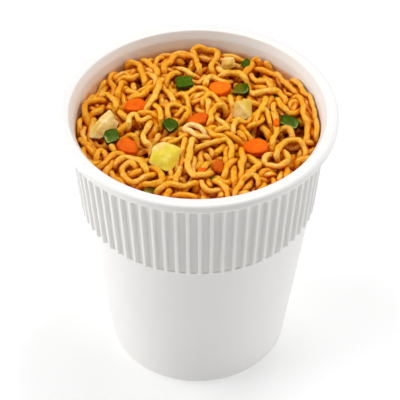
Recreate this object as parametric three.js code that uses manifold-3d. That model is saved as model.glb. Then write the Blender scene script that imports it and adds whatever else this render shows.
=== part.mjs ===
// An open cup of cooked instant noodles with diced vegetables.
// Millimetres, +Z up, origin at the centre of the cup's foot.
// The cup is one moulded piece: a tapered body on a foot ring, a fluted grip band
// under a thick rolled lip. The noodles are one heap that fills it, and each diced
// vegetable bedded in the top of the heap is a piece of its own.
import * as THREE from "three";
import { mergeVertices } from "three/addons/utils/BufferGeometryUtils.js";
import Module from "manifold-3d";

const wasm = await Module();
wasm.setup();

// ---------------------------------------------------------------- cup sizes
const CUP_HEIGHT = 103.0;
const LIP_RADIUS = 48.0; // outside of the lip
const LIP_HEIGHT = 3.2; // from the rim's top to the lip's lower edge
const LIP_ROUND = 1.2; // rounding of the lip's edges
const MOUTH_RADIUS = 43.7; // inner edge of the rim's top
const BAND_TOP_RADIUS = 44.3; // rib crests just under the lip
const BAND_BOTTOM_RADIUS = 41.3; // rib crests at the lower edge of the band
const BAND_BOTTOM = 65.2; // height of the band's lower edge
const BODY_TOP_RADIUS = 40.35; // plain body just under the band
const BODY_FOOT_RADIUS = 31.6; // plain body carried down to the foot's plane
const FOOT_ROUND = 2.4; // rounding between the body and the foot
const FOOT_RING = 4.2; // width of the ring the cup stands on
const FOOT_RECESS = 1.6; // how far the middle of the base is raised
const FLOOR_Z = 3.2; // inside of the base
const RIB_COUNT = 68;
const RIB_PHASE = 0.017; // turn of the first crest from the front, in radians
const RIB_DEPTH = 1.25; // crest to groove floor
const GROOVE_MOUTH = 2.75; // groove width at the crests
const GROOVE_FLOOR = 2.0; // groove width at its floor
const GROOVE_END = 0.0; // plain ledge left under each groove
const BAND_WALL = 2.1; // crest to inside, so 0.85 behind the grooves
const BODY_WALL = 1.25; // plain wall
const SEGMENTS = RIB_COUNT; // one facet for each rib

// ---------------------------------------------------------------- heap sizes
const HEAP_WALL_Z = 94.2; // level of the noodles at the cup's wall
const HEAP_RISE = 3.0; // how far the middle stands above that
const STRAND = 2.2; // thickness of one noodle
const LOOPS = 96; // arcs of noodle that shape the top
const GAP = 0.4; // clearance between separate pieces

// ---------------------------------------------------------------- helpers
const lerp = (a, b, t) => a + (b - a) * t;
const v2 = (r, z) => new THREE.Vector2(r, z);
function random(seed) {
  let s = seed >>> 0;
  return () => {
    s = (s + 0x6d2b79f5) >>> 0;
    let t = Math.imul(s ^ (s >>> 15), s | 1);
    t ^= t + Math.imul(t ^ (t >>> 7), t | 61);
    return ((t ^ (t >>> 14)) >>> 0) / 4294967296;
  };
}
function arc(cr, cz, radius, from, to, steps) {
  return Array.from({ length: steps + 1 }, (_, i) => {
    const a = lerp(from, to, i / steps);
    return v2(cr + radius * Math.cos(a), cz + radius * Math.sin(a));
  });
}
function toSolid(geometry) {
  const g = geometry.clone();
  g.deleteAttribute("normal");
  g.deleteAttribute("uv");
  const m = mergeVertices(g, 1e-4);
  return new wasm.Manifold(
    new wasm.Mesh({
      numProp: 3,
      vertProperties: new Float32Array(m.attributes.position.array),
      triVerts: new Uint32Array(m.index.array),
    }),
  );
}
function toGeometry(solid) {
  const m = solid.getMesh();
  const p = new Float32Array(m.numVert * 3);
  for (let i = 0; i < m.numVert; i++)
    for (let k = 0; k < 3; k++)
      p[i * 3 + k] = m.vertProperties[i * m.numProp + k];
  const g = new THREE.BufferGeometry()
    .setAttribute("position", new THREE.BufferAttribute(p, 3))
    .setIndex(new THREE.BufferAttribute(new Uint32Array(m.triVerts), 1));
  g.computeVertexNormals();
  return g;
}
// a turned solid with one flat facet behind each rib crest
const lathe = (points) =>
  new THREE.LatheGeometry(
    points,
    SEGMENTS,
    RIB_PHASE + Math.PI / SEGMENTS,
  ).rotateX(Math.PI / 2);

// ---------------------------------------------------------------- cup
const LIP_Z = CUP_HEIGHT - LIP_HEIGHT;
const bodySlope = (BODY_TOP_RADIUS - BODY_FOOT_RADIUS) / BAND_BOTTOM;
const bandSlope = (BAND_TOP_RADIUS - BAND_BOTTOM_RADIUS) / (LIP_Z - BAND_BOTTOM);
const bodyRadius = (z) => BODY_FOOT_RADIUS + bodySlope * z;
const crestRadius = (z) => BAND_BOTTOM_RADIUS + bandSlope * (z - BAND_BOTTOM);
const insideRadius = (z) =>
  z < BAND_BOTTOM
    ? bodyRadius(z) - BODY_WALL
    : crestRadius(z) - BAND_WALL;

function cupGeometry() {
  const tilt = Math.atan(bodySlope);
  const footR =
    bodyRadius(FOOT_ROUND) - FOOT_ROUND / Math.cos(tilt); // centre of the foot's rounding
  const lipIn = MOUTH_RADIUS + 0.9;
  const profile = [
    v2(0, FOOT_RECESS),
    v2(footR - FOOT_RING - 0.8, FOOT_RECESS),
    v2(footR - FOOT_RING, 0),
    ...arc(footR, FOOT_ROUND, FOOT_ROUND, -Math.PI / 2, -tilt, 2),
    v2(bodyRadius(BAND_BOTTOM - 0.2), BAND_BOTTOM - 0.2),
    v2(crestRadius(BAND_BOTTOM + 0.3) - 0.1, BAND_BOTTOM + 0.3),
    v2(crestRadius(LIP_Z), LIP_Z),
    v2(LIP_RADIUS - 0.5, LIP_Z),
    v2(LIP_RADIUS, LIP_Z + 0.6),
    ...arc(LIP_RADIUS - LIP_ROUND, CUP_HEIGHT - LIP_ROUND, LIP_ROUND, 0, Math.PI / 2, 2),
    v2(lipIn, CUP_HEIGHT),
    v2(MOUTH_RADIUS, CUP_HEIGHT - 0.5),
    v2(insideRadius(LIP_Z) + 0.35, LIP_Z + 0.4),
    v2(insideRadius(LIP_Z - 1.6), LIP_Z - 1.6),
    v2(insideRadius(BAND_BOTTOM), BAND_BOTTOM),
    v2(insideRadius(FLOOR_Z + 2.4), FLOOR_Z + 2.4),
    v2(insideRadius(FLOOR_Z) - 2.6, FLOOR_Z),
    v2(0, FLOOR_Z),
  ];
  let cup = toSolid(lathe(profile));

  // one groove: a trapezoid swept up the band's slope
  const GROOVE_FLARE = (GROOVE_MOUTH - GROOVE_FLOOR) / 2;
  const section = new THREE.Shape(
    [
      [-GROOVE_MOUTH / 2 - GROOVE_FLARE / 2, RIB_DEPTH / 2],
      [-GROOVE_FLOOR / 2, -RIB_DEPTH],
      [GROOVE_FLOOR / 2, -RIB_DEPTH],
      [GROOVE_MOUTH / 2 + GROOVE_FLARE / 2, RIB_DEPTH / 2],
    ].map(([t, n]) => v2(t, n)),
  );
  const low = BAND_BOTTOM + GROOVE_END;
  const lean = Math.atan(bandSlope);
  const long = (LIP_Z - 0.35 - low) / Math.cos(lean);
  const groove = new THREE.ExtrudeGeometry(section, {
    depth: long,
    bevelEnabled: false,
  });
  groove.rotateX(-lean); // +Y of the section points out of the wall, +Z runs up it
  groove.translate(0, crestRadius(low), low);
  for (let k = 0; k < RIB_COUNT; k++) {
    const turn = RIB_PHASE + ((k + 0.5) * 2 * Math.PI) / RIB_COUNT;
    const cut = groove.clone().rotateZ(turn - Math.PI);
    cup = cup.subtract(toSolid(cut));
  }
  return toGeometry(cup);
}

// ---------------------------------------------------------------- vegetables
// kind: size across, size along, thickness, squareness of the outline, bend of the sheet
const KINDS = {
  carrot: { squareness: 0.72, edge: 0.42, uneven: 0.07, bend: 0.0, colour: 0xf26a12, roughness: 0.42 },
  scallion: { squareness: 0.5, edge: 0.42, uneven: 0.06, bend: 0.05, colour: 0x2f6a17, roughness: 0.3 },
  cabbage: { squareness: 0.62, edge: 0.5, uneven: 0.12, bend: 0.09, colour: 0xd9cf62, roughness: 0.4 },
};
// name, kind, [across, along, thickness], [x, y], lift above the heap, spin, tilt to the front, tilt to the side (degrees)
const VEGETABLES = [
  ["carrot_1", "carrot", [7.4, 5.6, 2.9], [-21.4, 10.1], -0.5, 10, 8, 4],
  ["carrot_2", "carrot", [7.3, 5.4, 2.9], [7.7, 19.4], -0.5, -10, 18, -5],
  ["carrot_3", "carrot", [7.0, 4.8, 2.8], [0.1, 2.5], -0.9, 12, 12, -3],
  ["carrot_4", "carrot", [7.2, 6.0, 3.0], [-23.8, -10.8], -0.4, -22, 12, 8],
  ["carrot_5", "carrot", [8.2, 6.4, 3.1], [19.7, -11.4], -0.5, 4, 14, -4],
  ["carrot_6", "carrot", [3.8, 4.6, 2.6], [6.9, -20.7], -0.9, 24, 22, 6],
  ["scallion_1", "scallion", [6.4, 4.5, 1.9], [-4.7, 22.4], 0.1, 4, 14, -3],
  ["scallion_2", "scallion", [5.2, 4.3, 1.9], [15.2, 19.5], -0.5, -14, 18, -10],
  ["scallion_3", "scallion", [4.5, 4.5, 1.8], [-9.3, -0.6], -0.3, 44, 24, 0],
  ["scallion_4", "scallion", [5.3, 4.8, 2.1], [-29.2, -6.0], 0.5, 22, 20, 5],
  ["scallion_5", "scallion", [6.4, 4.4, 2.1], [31.4, 2.1], 0.0, -24, 20, -6],
  ["scallion_6", "scallion", [3.6, 2.8, 1.5], [17.2, 34.1], 0.5, 28, 26, 0],
  ["scallion_7", "scallion", [6.0, 4.0, 1.8], [-14.9, -30.3], -0.5, 10, 20, 0],
  ["cabbage_1", "cabbage", [10.8, 10.2, 1.6], [-11.0, -16.2], -0.1, 14, 15, 2],
  ["cabbage_2", "cabbage", [9.2, 8.6, 1.4], [-31.5, 1.9], 0.2, 38, 22, 16],
  ["cabbage_3", "cabbage", [6.8, 7.2, 1.6], [15.6, 7.9], -0.3, -10, 22, -6],
  ["cabbage_4", "cabbage", [5.2, 4.6, 2.2], [10.9, 34.0], 0.6, 12, 22, 0],
];
const CHIP_ROUND = 12; // facets round a chip
const CHIP_RISE = 5; // facets over its edge

const heapDome = (r) => {
  const t = Math.max(0, 1 - (r / insideRadius(HEAP_WALL_Z)) ** 2);
  return HEAP_WALL_Z + HEAP_RISE * t ** 0.8;
};

// A diced vegetable: a ball squared into a chip with an uneven outline, then bent.
function chipGeometry(kind, [across, along, thick], seed, grow) {
  const rand = random(seed);
  const waves = [2, 3, 5].map((n) => [n, rand() * 2 * Math.PI, (0.5 + rand()) * kind.uneven / Math.sqrt(n - 1)]);
  const bendTurn = rand() * Math.PI;
  const power = (x, p) => Math.sign(x) * Math.abs(x) ** p;
  const g = new THREE.SphereGeometry(1, CHIP_ROUND, CHIP_RISE).rotateX(Math.PI / 2);
  const p = g.attributes.position;
  for (let i = 0; i < p.count; i++) {
    const z = THREE.MathUtils.clamp(p.getZ(i), -1, 1);
    const flat = Math.sqrt(Math.max(0, 1 - z * z));
    const a = Math.atan2(p.getY(i), p.getX(i));
    const out = flat < 1e-6 ? 0 : power(flat, kind.edge);
    const shape = 1 + waves.reduce((s, [n, t, k]) => s + k * Math.sin(n * a + t), 0);
    const x = power(Math.cos(a), kind.squareness) * out * shape * (across / 2 + grow);
    const y = power(Math.sin(a), kind.squareness) * out * shape * (along / 2 + grow);
    const along2 = x * Math.cos(bendTurn) + y * Math.sin(bendTurn);
    const across2 = -x * Math.sin(bendTurn) + y * Math.cos(bendTurn);
    const curl = kind.bend * (along2 ** 2 / across * 1.6 - 0.8 * along2 * across2 / across);
    p.setXYZ(i, x, y, power(z, kind.edge) * (thick / 2 + grow) + curl);
  }
  return g;
}
function vegetable(entry, index, grow = 0) {
  const [, kindName, size, [x, y], lift, spin, front, side] = entry;
  const rad = THREE.MathUtils.degToRad;
  const g = chipGeometry(KINDS[kindName], size, 101 + 17 * index, grow);
  g.rotateZ(rad(spin)).rotateX(rad(front)).rotateY(rad(side));
  g.translate(x, y, heapDome(Math.hypot(x, y)) + lift);
  return g;
}

// ---------------------------------------------------------------- noodle heap
const HEAP_RINGS = 9;
const HEAP_SEGMENTS = 46;
function heapGeometry() {
  const sideTop = insideRadius(HEAP_WALL_Z) - GAP;
  const profile = [
    v2(0, FLOOR_Z + GAP),
    v2(insideRadius(FLOOR_Z) - 3.2, FLOOR_Z + GAP),
    v2(insideRadius(FLOOR_Z + 3.2) - GAP, FLOOR_Z + 3.2),
    v2(insideRadius(BAND_BOTTOM) - GAP, BAND_BOTTOM),
  ];
  for (let i = 0; i <= HEAP_RINGS; i++) {
    const r = sideTop * (1 - i / HEAP_RINGS) ** 0.82;
    profile.push(v2(r < 1e-6 ? 0 : r, heapDome(r)));
  }
  const g = new THREE.LatheGeometry(profile, HEAP_SEGMENTS).rotateX(Math.PI / 2);
  // loops of noodle standing out of the heap
  const rand = random(20);
  const loops = Array.from({ length: LOOPS }, () => {
    const r = sideTop * Math.sqrt(rand());
    const a = rand() * 2 * Math.PI;
    return {
      x: r * Math.cos(a),
      y: r * Math.sin(a),
      radius: lerp(3, 8, rand()),
      height: lerp(0.5, 1, rand()),
    };
  });
  const p = g.attributes.position;
  for (let i = 0; i < p.count; i++) {
    const x = p.getX(i), y = p.getY(i), r = Math.hypot(x, y);
    if (p.getZ(i) < HEAP_WALL_Z - 0.01) continue;
    let rise = 0;
    for (const l of loops) {
      const off = (Math.hypot(x - l.x, y - l.y) - l.radius) / (STRAND * 0.75);
      rise = Math.max(rise, l.height * Math.exp(-off * off));
    }
    p.setZ(i, p.getZ(i) + STRAND * 0.85 * (rise - 0.72) * (r > sideTop - 0.5 ? 0.7 : 1));
  }
  let heap = toSolid(g);
  VEGETABLES.forEach((entry, i) => {
    heap = heap.subtract(toSolid(vegetable(entry, i, GAP)));
  });
  return toGeometry(heap.decompose().sort((a, b) => b.volume() - a.volume())[0]);
}

// ---------------------------------------------------------------- the part
const part = new THREE.Group();
function add(name, geometry, colour, roughness) {
  const mesh = new THREE.Mesh(
    geometry,
    new THREE.MeshStandardMaterial({ color: colour, roughness, metalness: 0 }),
  );
  mesh.name = name;
  part.add(mesh);
}
add("cup", cupGeometry(), 0xf4f2ee, 0.38);
add("noodles", heapGeometry(), 0xdf9a35, 0.45);
VEGETABLES.forEach((entry, i) =>
  add(entry[0], vegetable(entry, i), KINDS[entry[1]].colour, KINDS[entry[1]].roughness),
);

export default part;
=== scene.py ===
# The looks of an open cup of cooked instant noodles with diced vegetables.
# Everything is built in millimetres in the model's own frame and stored in metres.
import math
import bpy
import numpy as np
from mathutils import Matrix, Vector


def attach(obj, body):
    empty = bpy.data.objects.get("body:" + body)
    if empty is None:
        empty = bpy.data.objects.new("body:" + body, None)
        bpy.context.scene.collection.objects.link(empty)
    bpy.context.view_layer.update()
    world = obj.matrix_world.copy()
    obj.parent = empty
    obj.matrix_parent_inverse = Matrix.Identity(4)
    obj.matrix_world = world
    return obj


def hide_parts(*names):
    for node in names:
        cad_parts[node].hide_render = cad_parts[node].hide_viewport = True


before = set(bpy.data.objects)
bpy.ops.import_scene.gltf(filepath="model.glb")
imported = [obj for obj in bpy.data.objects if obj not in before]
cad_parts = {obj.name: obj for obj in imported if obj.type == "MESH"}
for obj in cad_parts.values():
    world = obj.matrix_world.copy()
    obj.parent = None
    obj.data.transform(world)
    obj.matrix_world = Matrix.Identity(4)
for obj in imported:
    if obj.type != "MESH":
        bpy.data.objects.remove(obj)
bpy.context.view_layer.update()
scene = bpy.context.scene
MM = 0.001

# ------------------------------------------------------------------ sizes, mm
CUP_HEIGHT = 103.0
LIP_RADIUS = 48.0
LIP_Z = 99.8
MOUTH_RADIUS = 43.7
BAND_TOP_RADIUS, BAND_BOTTOM_RADIUS, BAND_BOTTOM = 44.3, 41.3, 65.2
BODY_TOP_RADIUS, BODY_FOOT_RADIUS = 40.35, 31.6
FOOT_ROUND, FOOT_RING, FOOT_RECESS, FLOOR_Z = 2.4, 4.2, 1.6, 3.2
RIB_COUNT, RIB_PHASE, RIB_DEPTH = 68, 0.017, 1.25
BAND_WALL, BODY_WALL = 2.1, 1.25
HEAP_WALL_Z, HEAP_RISE = 94.2, 3.0
STRAND_R = 1.10  # half the thickness of one noodle
SHELL = 6.5  # depth of loose strands over the core

BODY_SLOPE = (BODY_TOP_RADIUS - BODY_FOOT_RADIUS) / BAND_BOTTOM
BAND_SLOPE = (BAND_TOP_RADIUS - BAND_BOTTOM_RADIUS) / (LIP_Z - BAND_BOTTOM)


def body_radius(z):
    return BODY_FOOT_RADIUS + BODY_SLOPE * z


def crest_radius(z):
    return BAND_BOTTOM_RADIUS + BAND_SLOPE * (z - BAND_BOTTOM)


def inside_radius(z):
    return np.where(np.asarray(z) < BAND_BOTTOM, body_radius(z) - BODY_WALL, crest_radius(z) - BAND_WALL)


def heap_dome(r):
    t = np.clip(1 - (np.asarray(r) / float(inside_radius(HEAP_WALL_Z))) ** 2, 0, 1)
    return HEAP_WALL_Z + HEAP_RISE * t ** 0.8


def smoothstep(x, a, b):
    t = np.clip((np.asarray(x, float) - a) / (b - a), 0, 1)
    return t * t * (3 - 2 * t)


def lerp(a, b, t):
    return a + (b - a) * t


# ------------------------------------------------------------------ mesh helpers
def mesh_object(name, verts_mm, faces, smooth=True):
    """One mesh object from arrays: faces is a list of integer arrays, one row a face."""
    me = bpy.data.meshes.new(name)
    v = np.asarray(verts_mm, np.float64) * MM
    sizes, loops = [], []
    for f in faces:
        f = np.asarray(f, np.int32)
        if len(f) == 0:
            continue
        sizes.append(np.full(len(f), f.shape[1], np.int32))
        loops.append(f.ravel())
    sizes, loops = np.concatenate(sizes), np.concatenate(loops)
    me.vertices.add(len(v))
    me.vertices.foreach_set("co", v.astype(np.float32).ravel())
    me.loops.add(len(loops))
    me.loops.foreach_set("vertex_index", loops)
    me.polygons.add(len(sizes))
    me.polygons.foreach_set("loop_start", (np.cumsum(sizes) - sizes).astype(np.int32))
    me.polygons.foreach_set("use_smooth", np.full(len(sizes), smooth))
    me.update(calc_edges=True)
    me.validate()
    ob = bpy.data.objects.new(name, me)
    scene.collection.objects.link(ob)
    return ob


def point_attribute(ob, name, values):
    at = ob.data.attributes.new(name, "FLOAT", "POINT")
    at.data.foreach_set("value", np.asarray(values, np.float32))


def grid_quads(rows, cols, wrap):
    """Quads of a rows x cols vertex grid, wound outwards for a turned surface."""
    i = np.arange(rows - 1)[:, None] * cols
    j = np.arange(cols if wrap else cols - 1)[None, :]
    k = (j + 1) % cols
    return np.stack([i + j, i + k, i + cols + k, i + cols + j], -1).reshape(-1, 4)


def close_ends(grid):
    """Points and faces of a turned surface, with its first and last rows drawn together into one point each."""
    rows, cols = len(grid) - 2, len(grid[0])
    verts = np.concatenate([np.concatenate(grid[1:-1]), np.mean(grid[0], 0)[None], np.mean(grid[-1], 0)[None]])
    j = np.arange(cols)
    k = (j + 1) % cols
    first, last = np.full(cols, rows * cols), np.full(cols, rows * cols + 1)
    end = (rows - 1) * cols
    return verts, [grid_quads(rows, cols, True), np.concatenate([np.stack([first, k, j], 1), np.stack([last, end + j, end + k], 1)])]


class Noise:
    """Smooth seeded value noise in three dimensions, about -1 to 1."""

    def __init__(self, seed):
        self.t = np.random.default_rng(seed).uniform(-1, 1, (32, 32, 32))

    def __call__(self, p, scale):
        q = np.asarray(p, float) / scale + 100.0
        i = np.floor(q).astype(int)
        f = q - i
        f = f * f * (3 - 2 * f)
        out = 0.0
        for dx in (0, 1):
            for dy in (0, 1):
                for dz in (0, 1):
                    w = np.abs(1 - dx - f[..., 0]) * np.abs(1 - dy - f[..., 1]) * np.abs(1 - dz - f[..., 2])
                    out = out + w * self.t[(i[..., 0] + dx) % 32, (i[..., 1] + dy) % 32, (i[..., 2] + dz) % 32]
        return out


# ------------------------------------------------------------------ material helpers
def srgb(r, g, b):
    def f(c):
        c /= 255.0
        return c / 12.92 if c <= 0.04045 else ((c + 0.055) / 1.055) ** 2.4
    return (f(r), f(g), f(b), 1.0)


class Mat:
    """A node material around one Principled shader."""

    def __init__(self, name, roughness=0.4, specular=0.5, coat=0.0, coat_roughness=0.2, subsurface=0.0, radius=(1, 1, 1), scale=0.001):
        self.m = bpy.data.materials.new(name)
        self.m.use_nodes = True
        self.nodes, self.links = self.m.node_tree.nodes, self.m.node_tree.links
        self.p = self.nodes["Principled BSDF"]
        self.set("Roughness", roughness)
        self.set("Specular IOR Level", specular)
        self.set("Coat Weight", coat)
        self.set("Coat Roughness", coat_roughness)
        self.set("Subsurface Weight", subsurface)
        self.set("Subsurface Radius", radius)
        self.set("Subsurface Scale", scale)
        self.coord = self.nodes.new("ShaderNodeTexCoord")

    def set(self, socket, value):
        self.p.inputs[socket].default_value = value

    def noise(self, scale, detail=3.0, rough=0.55, distortion=0.0, stretch=None):
        n = self.nodes.new("ShaderNodeTexNoise")
        n.inputs["Scale"].default_value = scale
        n.inputs["Detail"].default_value = detail
        n.inputs["Roughness"].default_value = rough
        n.inputs["Distortion"].default_value = distortion
        src = self.coord.outputs["Object"]
        if stretch:
            mp = self.nodes.new("ShaderNodeMapping")
            mp.inputs["Scale"].default_value = stretch
            self.links.new(src, mp.inputs["Vector"])
            src = mp.outputs["Vector"]
        self.links.new(src, n.inputs["Vector"])
        return n.outputs["Fac"]

    def voronoi(self, scale, feature="F1"):
        n = self.nodes.new("ShaderNodeTexVoronoi")
        n.feature = feature
        n.inputs["Scale"].default_value = scale
        self.links.new(self.coord.outputs["Object"], n.inputs["Vector"])
        return n.outputs["Distance"]

    def attribute(self, name):
        n = self.nodes.new("ShaderNodeAttribute")
        n.attribute_name = name
        return n.outputs["Fac"]

    def ramp(self, fac, stops, mode="LINEAR"):
        n = self.nodes.new("ShaderNodeValToRGB")
        n.color_ramp.interpolation = mode
        e = n.color_ramp.elements
        while len(e) < len(stops):
            e.new(0.5)
        for s, (pos, col) in zip(e, stops):
            s.position = pos
            s.color = col
        self.links.new(fac, n.inputs["Fac"])
        return n.outputs["Color"]

    def math(self, op, a, b=None, c=None, clamp=False):
        n = self.nodes.new("ShaderNodeMath")
        n.operation = op
        n.use_clamp = clamp
        for k, x in enumerate((a, b, c)):
            if x is None:
                continue
            if isinstance(x, (int, float)):
                n.inputs[k].default_value = x
            else:
                self.links.new(x, n.inputs[k])
        return n.outputs["Value"]

    def mix(self, fac, a, b, blend="MIX"):
        n = self.nodes.new("ShaderNodeMix")
        n.data_type = "RGBA"
        n.blend_type = blend
        for sock, x in ((n.inputs["Factor"], fac), (n.inputs["A"] if False else n.inputs[6], a), (n.inputs[7], b)):
            if isinstance(x, (int, float, tuple, list)):
                sock.default_value = x
            else:
                self.links.new(x, sock)
        return n.outputs[2]

    def span(self, x, lo, hi, a, b):
        n = self.nodes.new("ShaderNodeMapRange")
        for k, v in (("From Min", lo), ("From Max", hi), ("To Min", a), ("To Max", b)):
            n.inputs[k].default_value = v
        self.links.new(x, n.inputs["Value"])
        return n.outputs["Result"]

    def link(self, out, socket):
        self.links.new(out, self.p.inputs[socket])

    def bump(self, height, strength, distance):
        n = self.nodes.new("ShaderNodeBump")
        n.inputs["Strength"].default_value = strength
        n.inputs["Distance"].default_value = distance
        self.links.new(height, n.inputs["Height"])
        self.links.new(n.outputs["Normal"], self.p.inputs["Normal"])


# ------------------------------------------------------------------ camera
CAMERA_AT = Vector((0.0, -514.537, 541.989)) * MM
CAMERA_TARGET = Vector((0.0, 0.0, 50.0)) * MM
cam_data = bpy.data.cameras.new("camera")
cam_data.sensor_width = 36.0
cam_data.sensor_fit = "HORIZONTAL"
cam_data.lens = 1994.065 * 36.0 / 400.0
cam_data.shift_x = (200.0 - 197.7) / 400.0
cam_data.shift_y = (223.45 - 200.0) / 400.0
cam_data.clip_start, cam_data.clip_end = 0.01, 20.0
camera = bpy.data.objects.new("camera", cam_data)
camera.location = CAMERA_AT
camera.rotation_euler = (CAMERA_TARGET - CAMERA_AT).to_track_quat("-Z", "Y").to_euler()
scene.collection.objects.link(camera)
scene.camera = camera

# ------------------------------------------------------------------ light
scene.view_settings.view_transform = "Standard"
scene.view_settings.look = "None"
scene.view_settings.exposure = 0.0
scene.view_settings.gamma = 1.0
world = bpy.data.worlds.new("world")
scene.world = world
world.use_nodes = True
world.node_tree.nodes["Background"].inputs["Color"].default_value = (1.0, 1.0, 1.0, 1.0)
world.node_tree.nodes["Background"].inputs["Strength"].default_value = 0.10


def area_light(name, at, aim, size, power, colour=(1, 1, 1)):
    d = bpy.data.lights.new(name, "AREA")
    d.shape = "RECTANGLE"
    d.size, d.size_y = size
    d.energy = power
    d.color = colour
    o = bpy.data.objects.new(name, d)
    o.location = at
    o.rotation_euler = (Vector(aim) - Vector(at)).to_track_quat("-Z", "Y").to_euler()
    scene.collection.objects.link(o)
    return o


# soft boxes round the cup: turn from the right side, height angle, size in metres, power in watts
SOFT_BOXES = [
    ("right_low", 0, 15, 1.0, 5.6),
    ("top_right", 45, 72, 0.3, 4.4),
    ("top_back", 90, 72, 0.3, 1.7),
    ("left_low", 180, 15, 1.0, 10.0),
    ("top_left", 180, 72, 0.3, 0.9),
    ("top_front_left", 225, 72, 0.3, 1.5),
]
for name, az, el, size, power in SOFT_BOXES:
    az, el = math.radians(az), math.radians(el)
    at = Vector((0, 0, 0.06)) + 1.1 * Vector((math.cos(az) * math.cos(el), math.sin(az) * math.cos(el), math.sin(el)))
    at.z = max(at.z, 0.52)
    area_light(name, at, (0, 0, 0.06), (size, size), power)

floor = mesh_object("floor", np.array([[-3000, -3000, -0.05], [3000, -3000, -0.05], [3000, 3000, -0.05], [-3000, 3000, -0.05]]), [np.array([[0, 1, 2, 3]])], smooth=False)
fm = Mat("floor", roughness=0.9, specular=0.1)
fm.link(fm.ramp(fm.noise(3.0), [(0.0, (0.66, 0.66, 0.66, 1)), (1.0, (0.68, 0.68, 0.68, 1))]), "Base Color")
fm.set("Emission Color", (1, 1, 1, 1))
fm.set("Emission Strength", 0.39)
floor.data.materials.append(fm.m)

# ------------------------------------------------------------------ cup
# places across half a rib, as parts of the pitch, and how deep the groove is there
RIB_PLACES = [(0.0, 0.0), (0.115, 0.02), (0.15, 0.16), (0.19, 0.84), (0.225, 0.98), (0.36, 1.02), (0.5, 1.03)]
RIB_SECTION = RIB_PLACES + [(1 - t, d) for t, d in RIB_PLACES[-2:0:-1]]
COLS = RIB_COUNT * len(RIB_SECTION)


def arc(cr, cz, rad, a0, a1, n):
    t = np.radians(np.linspace(a0, a1, n + 1))
    return [(cr + rad * math.cos(a), cz + rad * math.sin(a)) for a in t]


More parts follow.
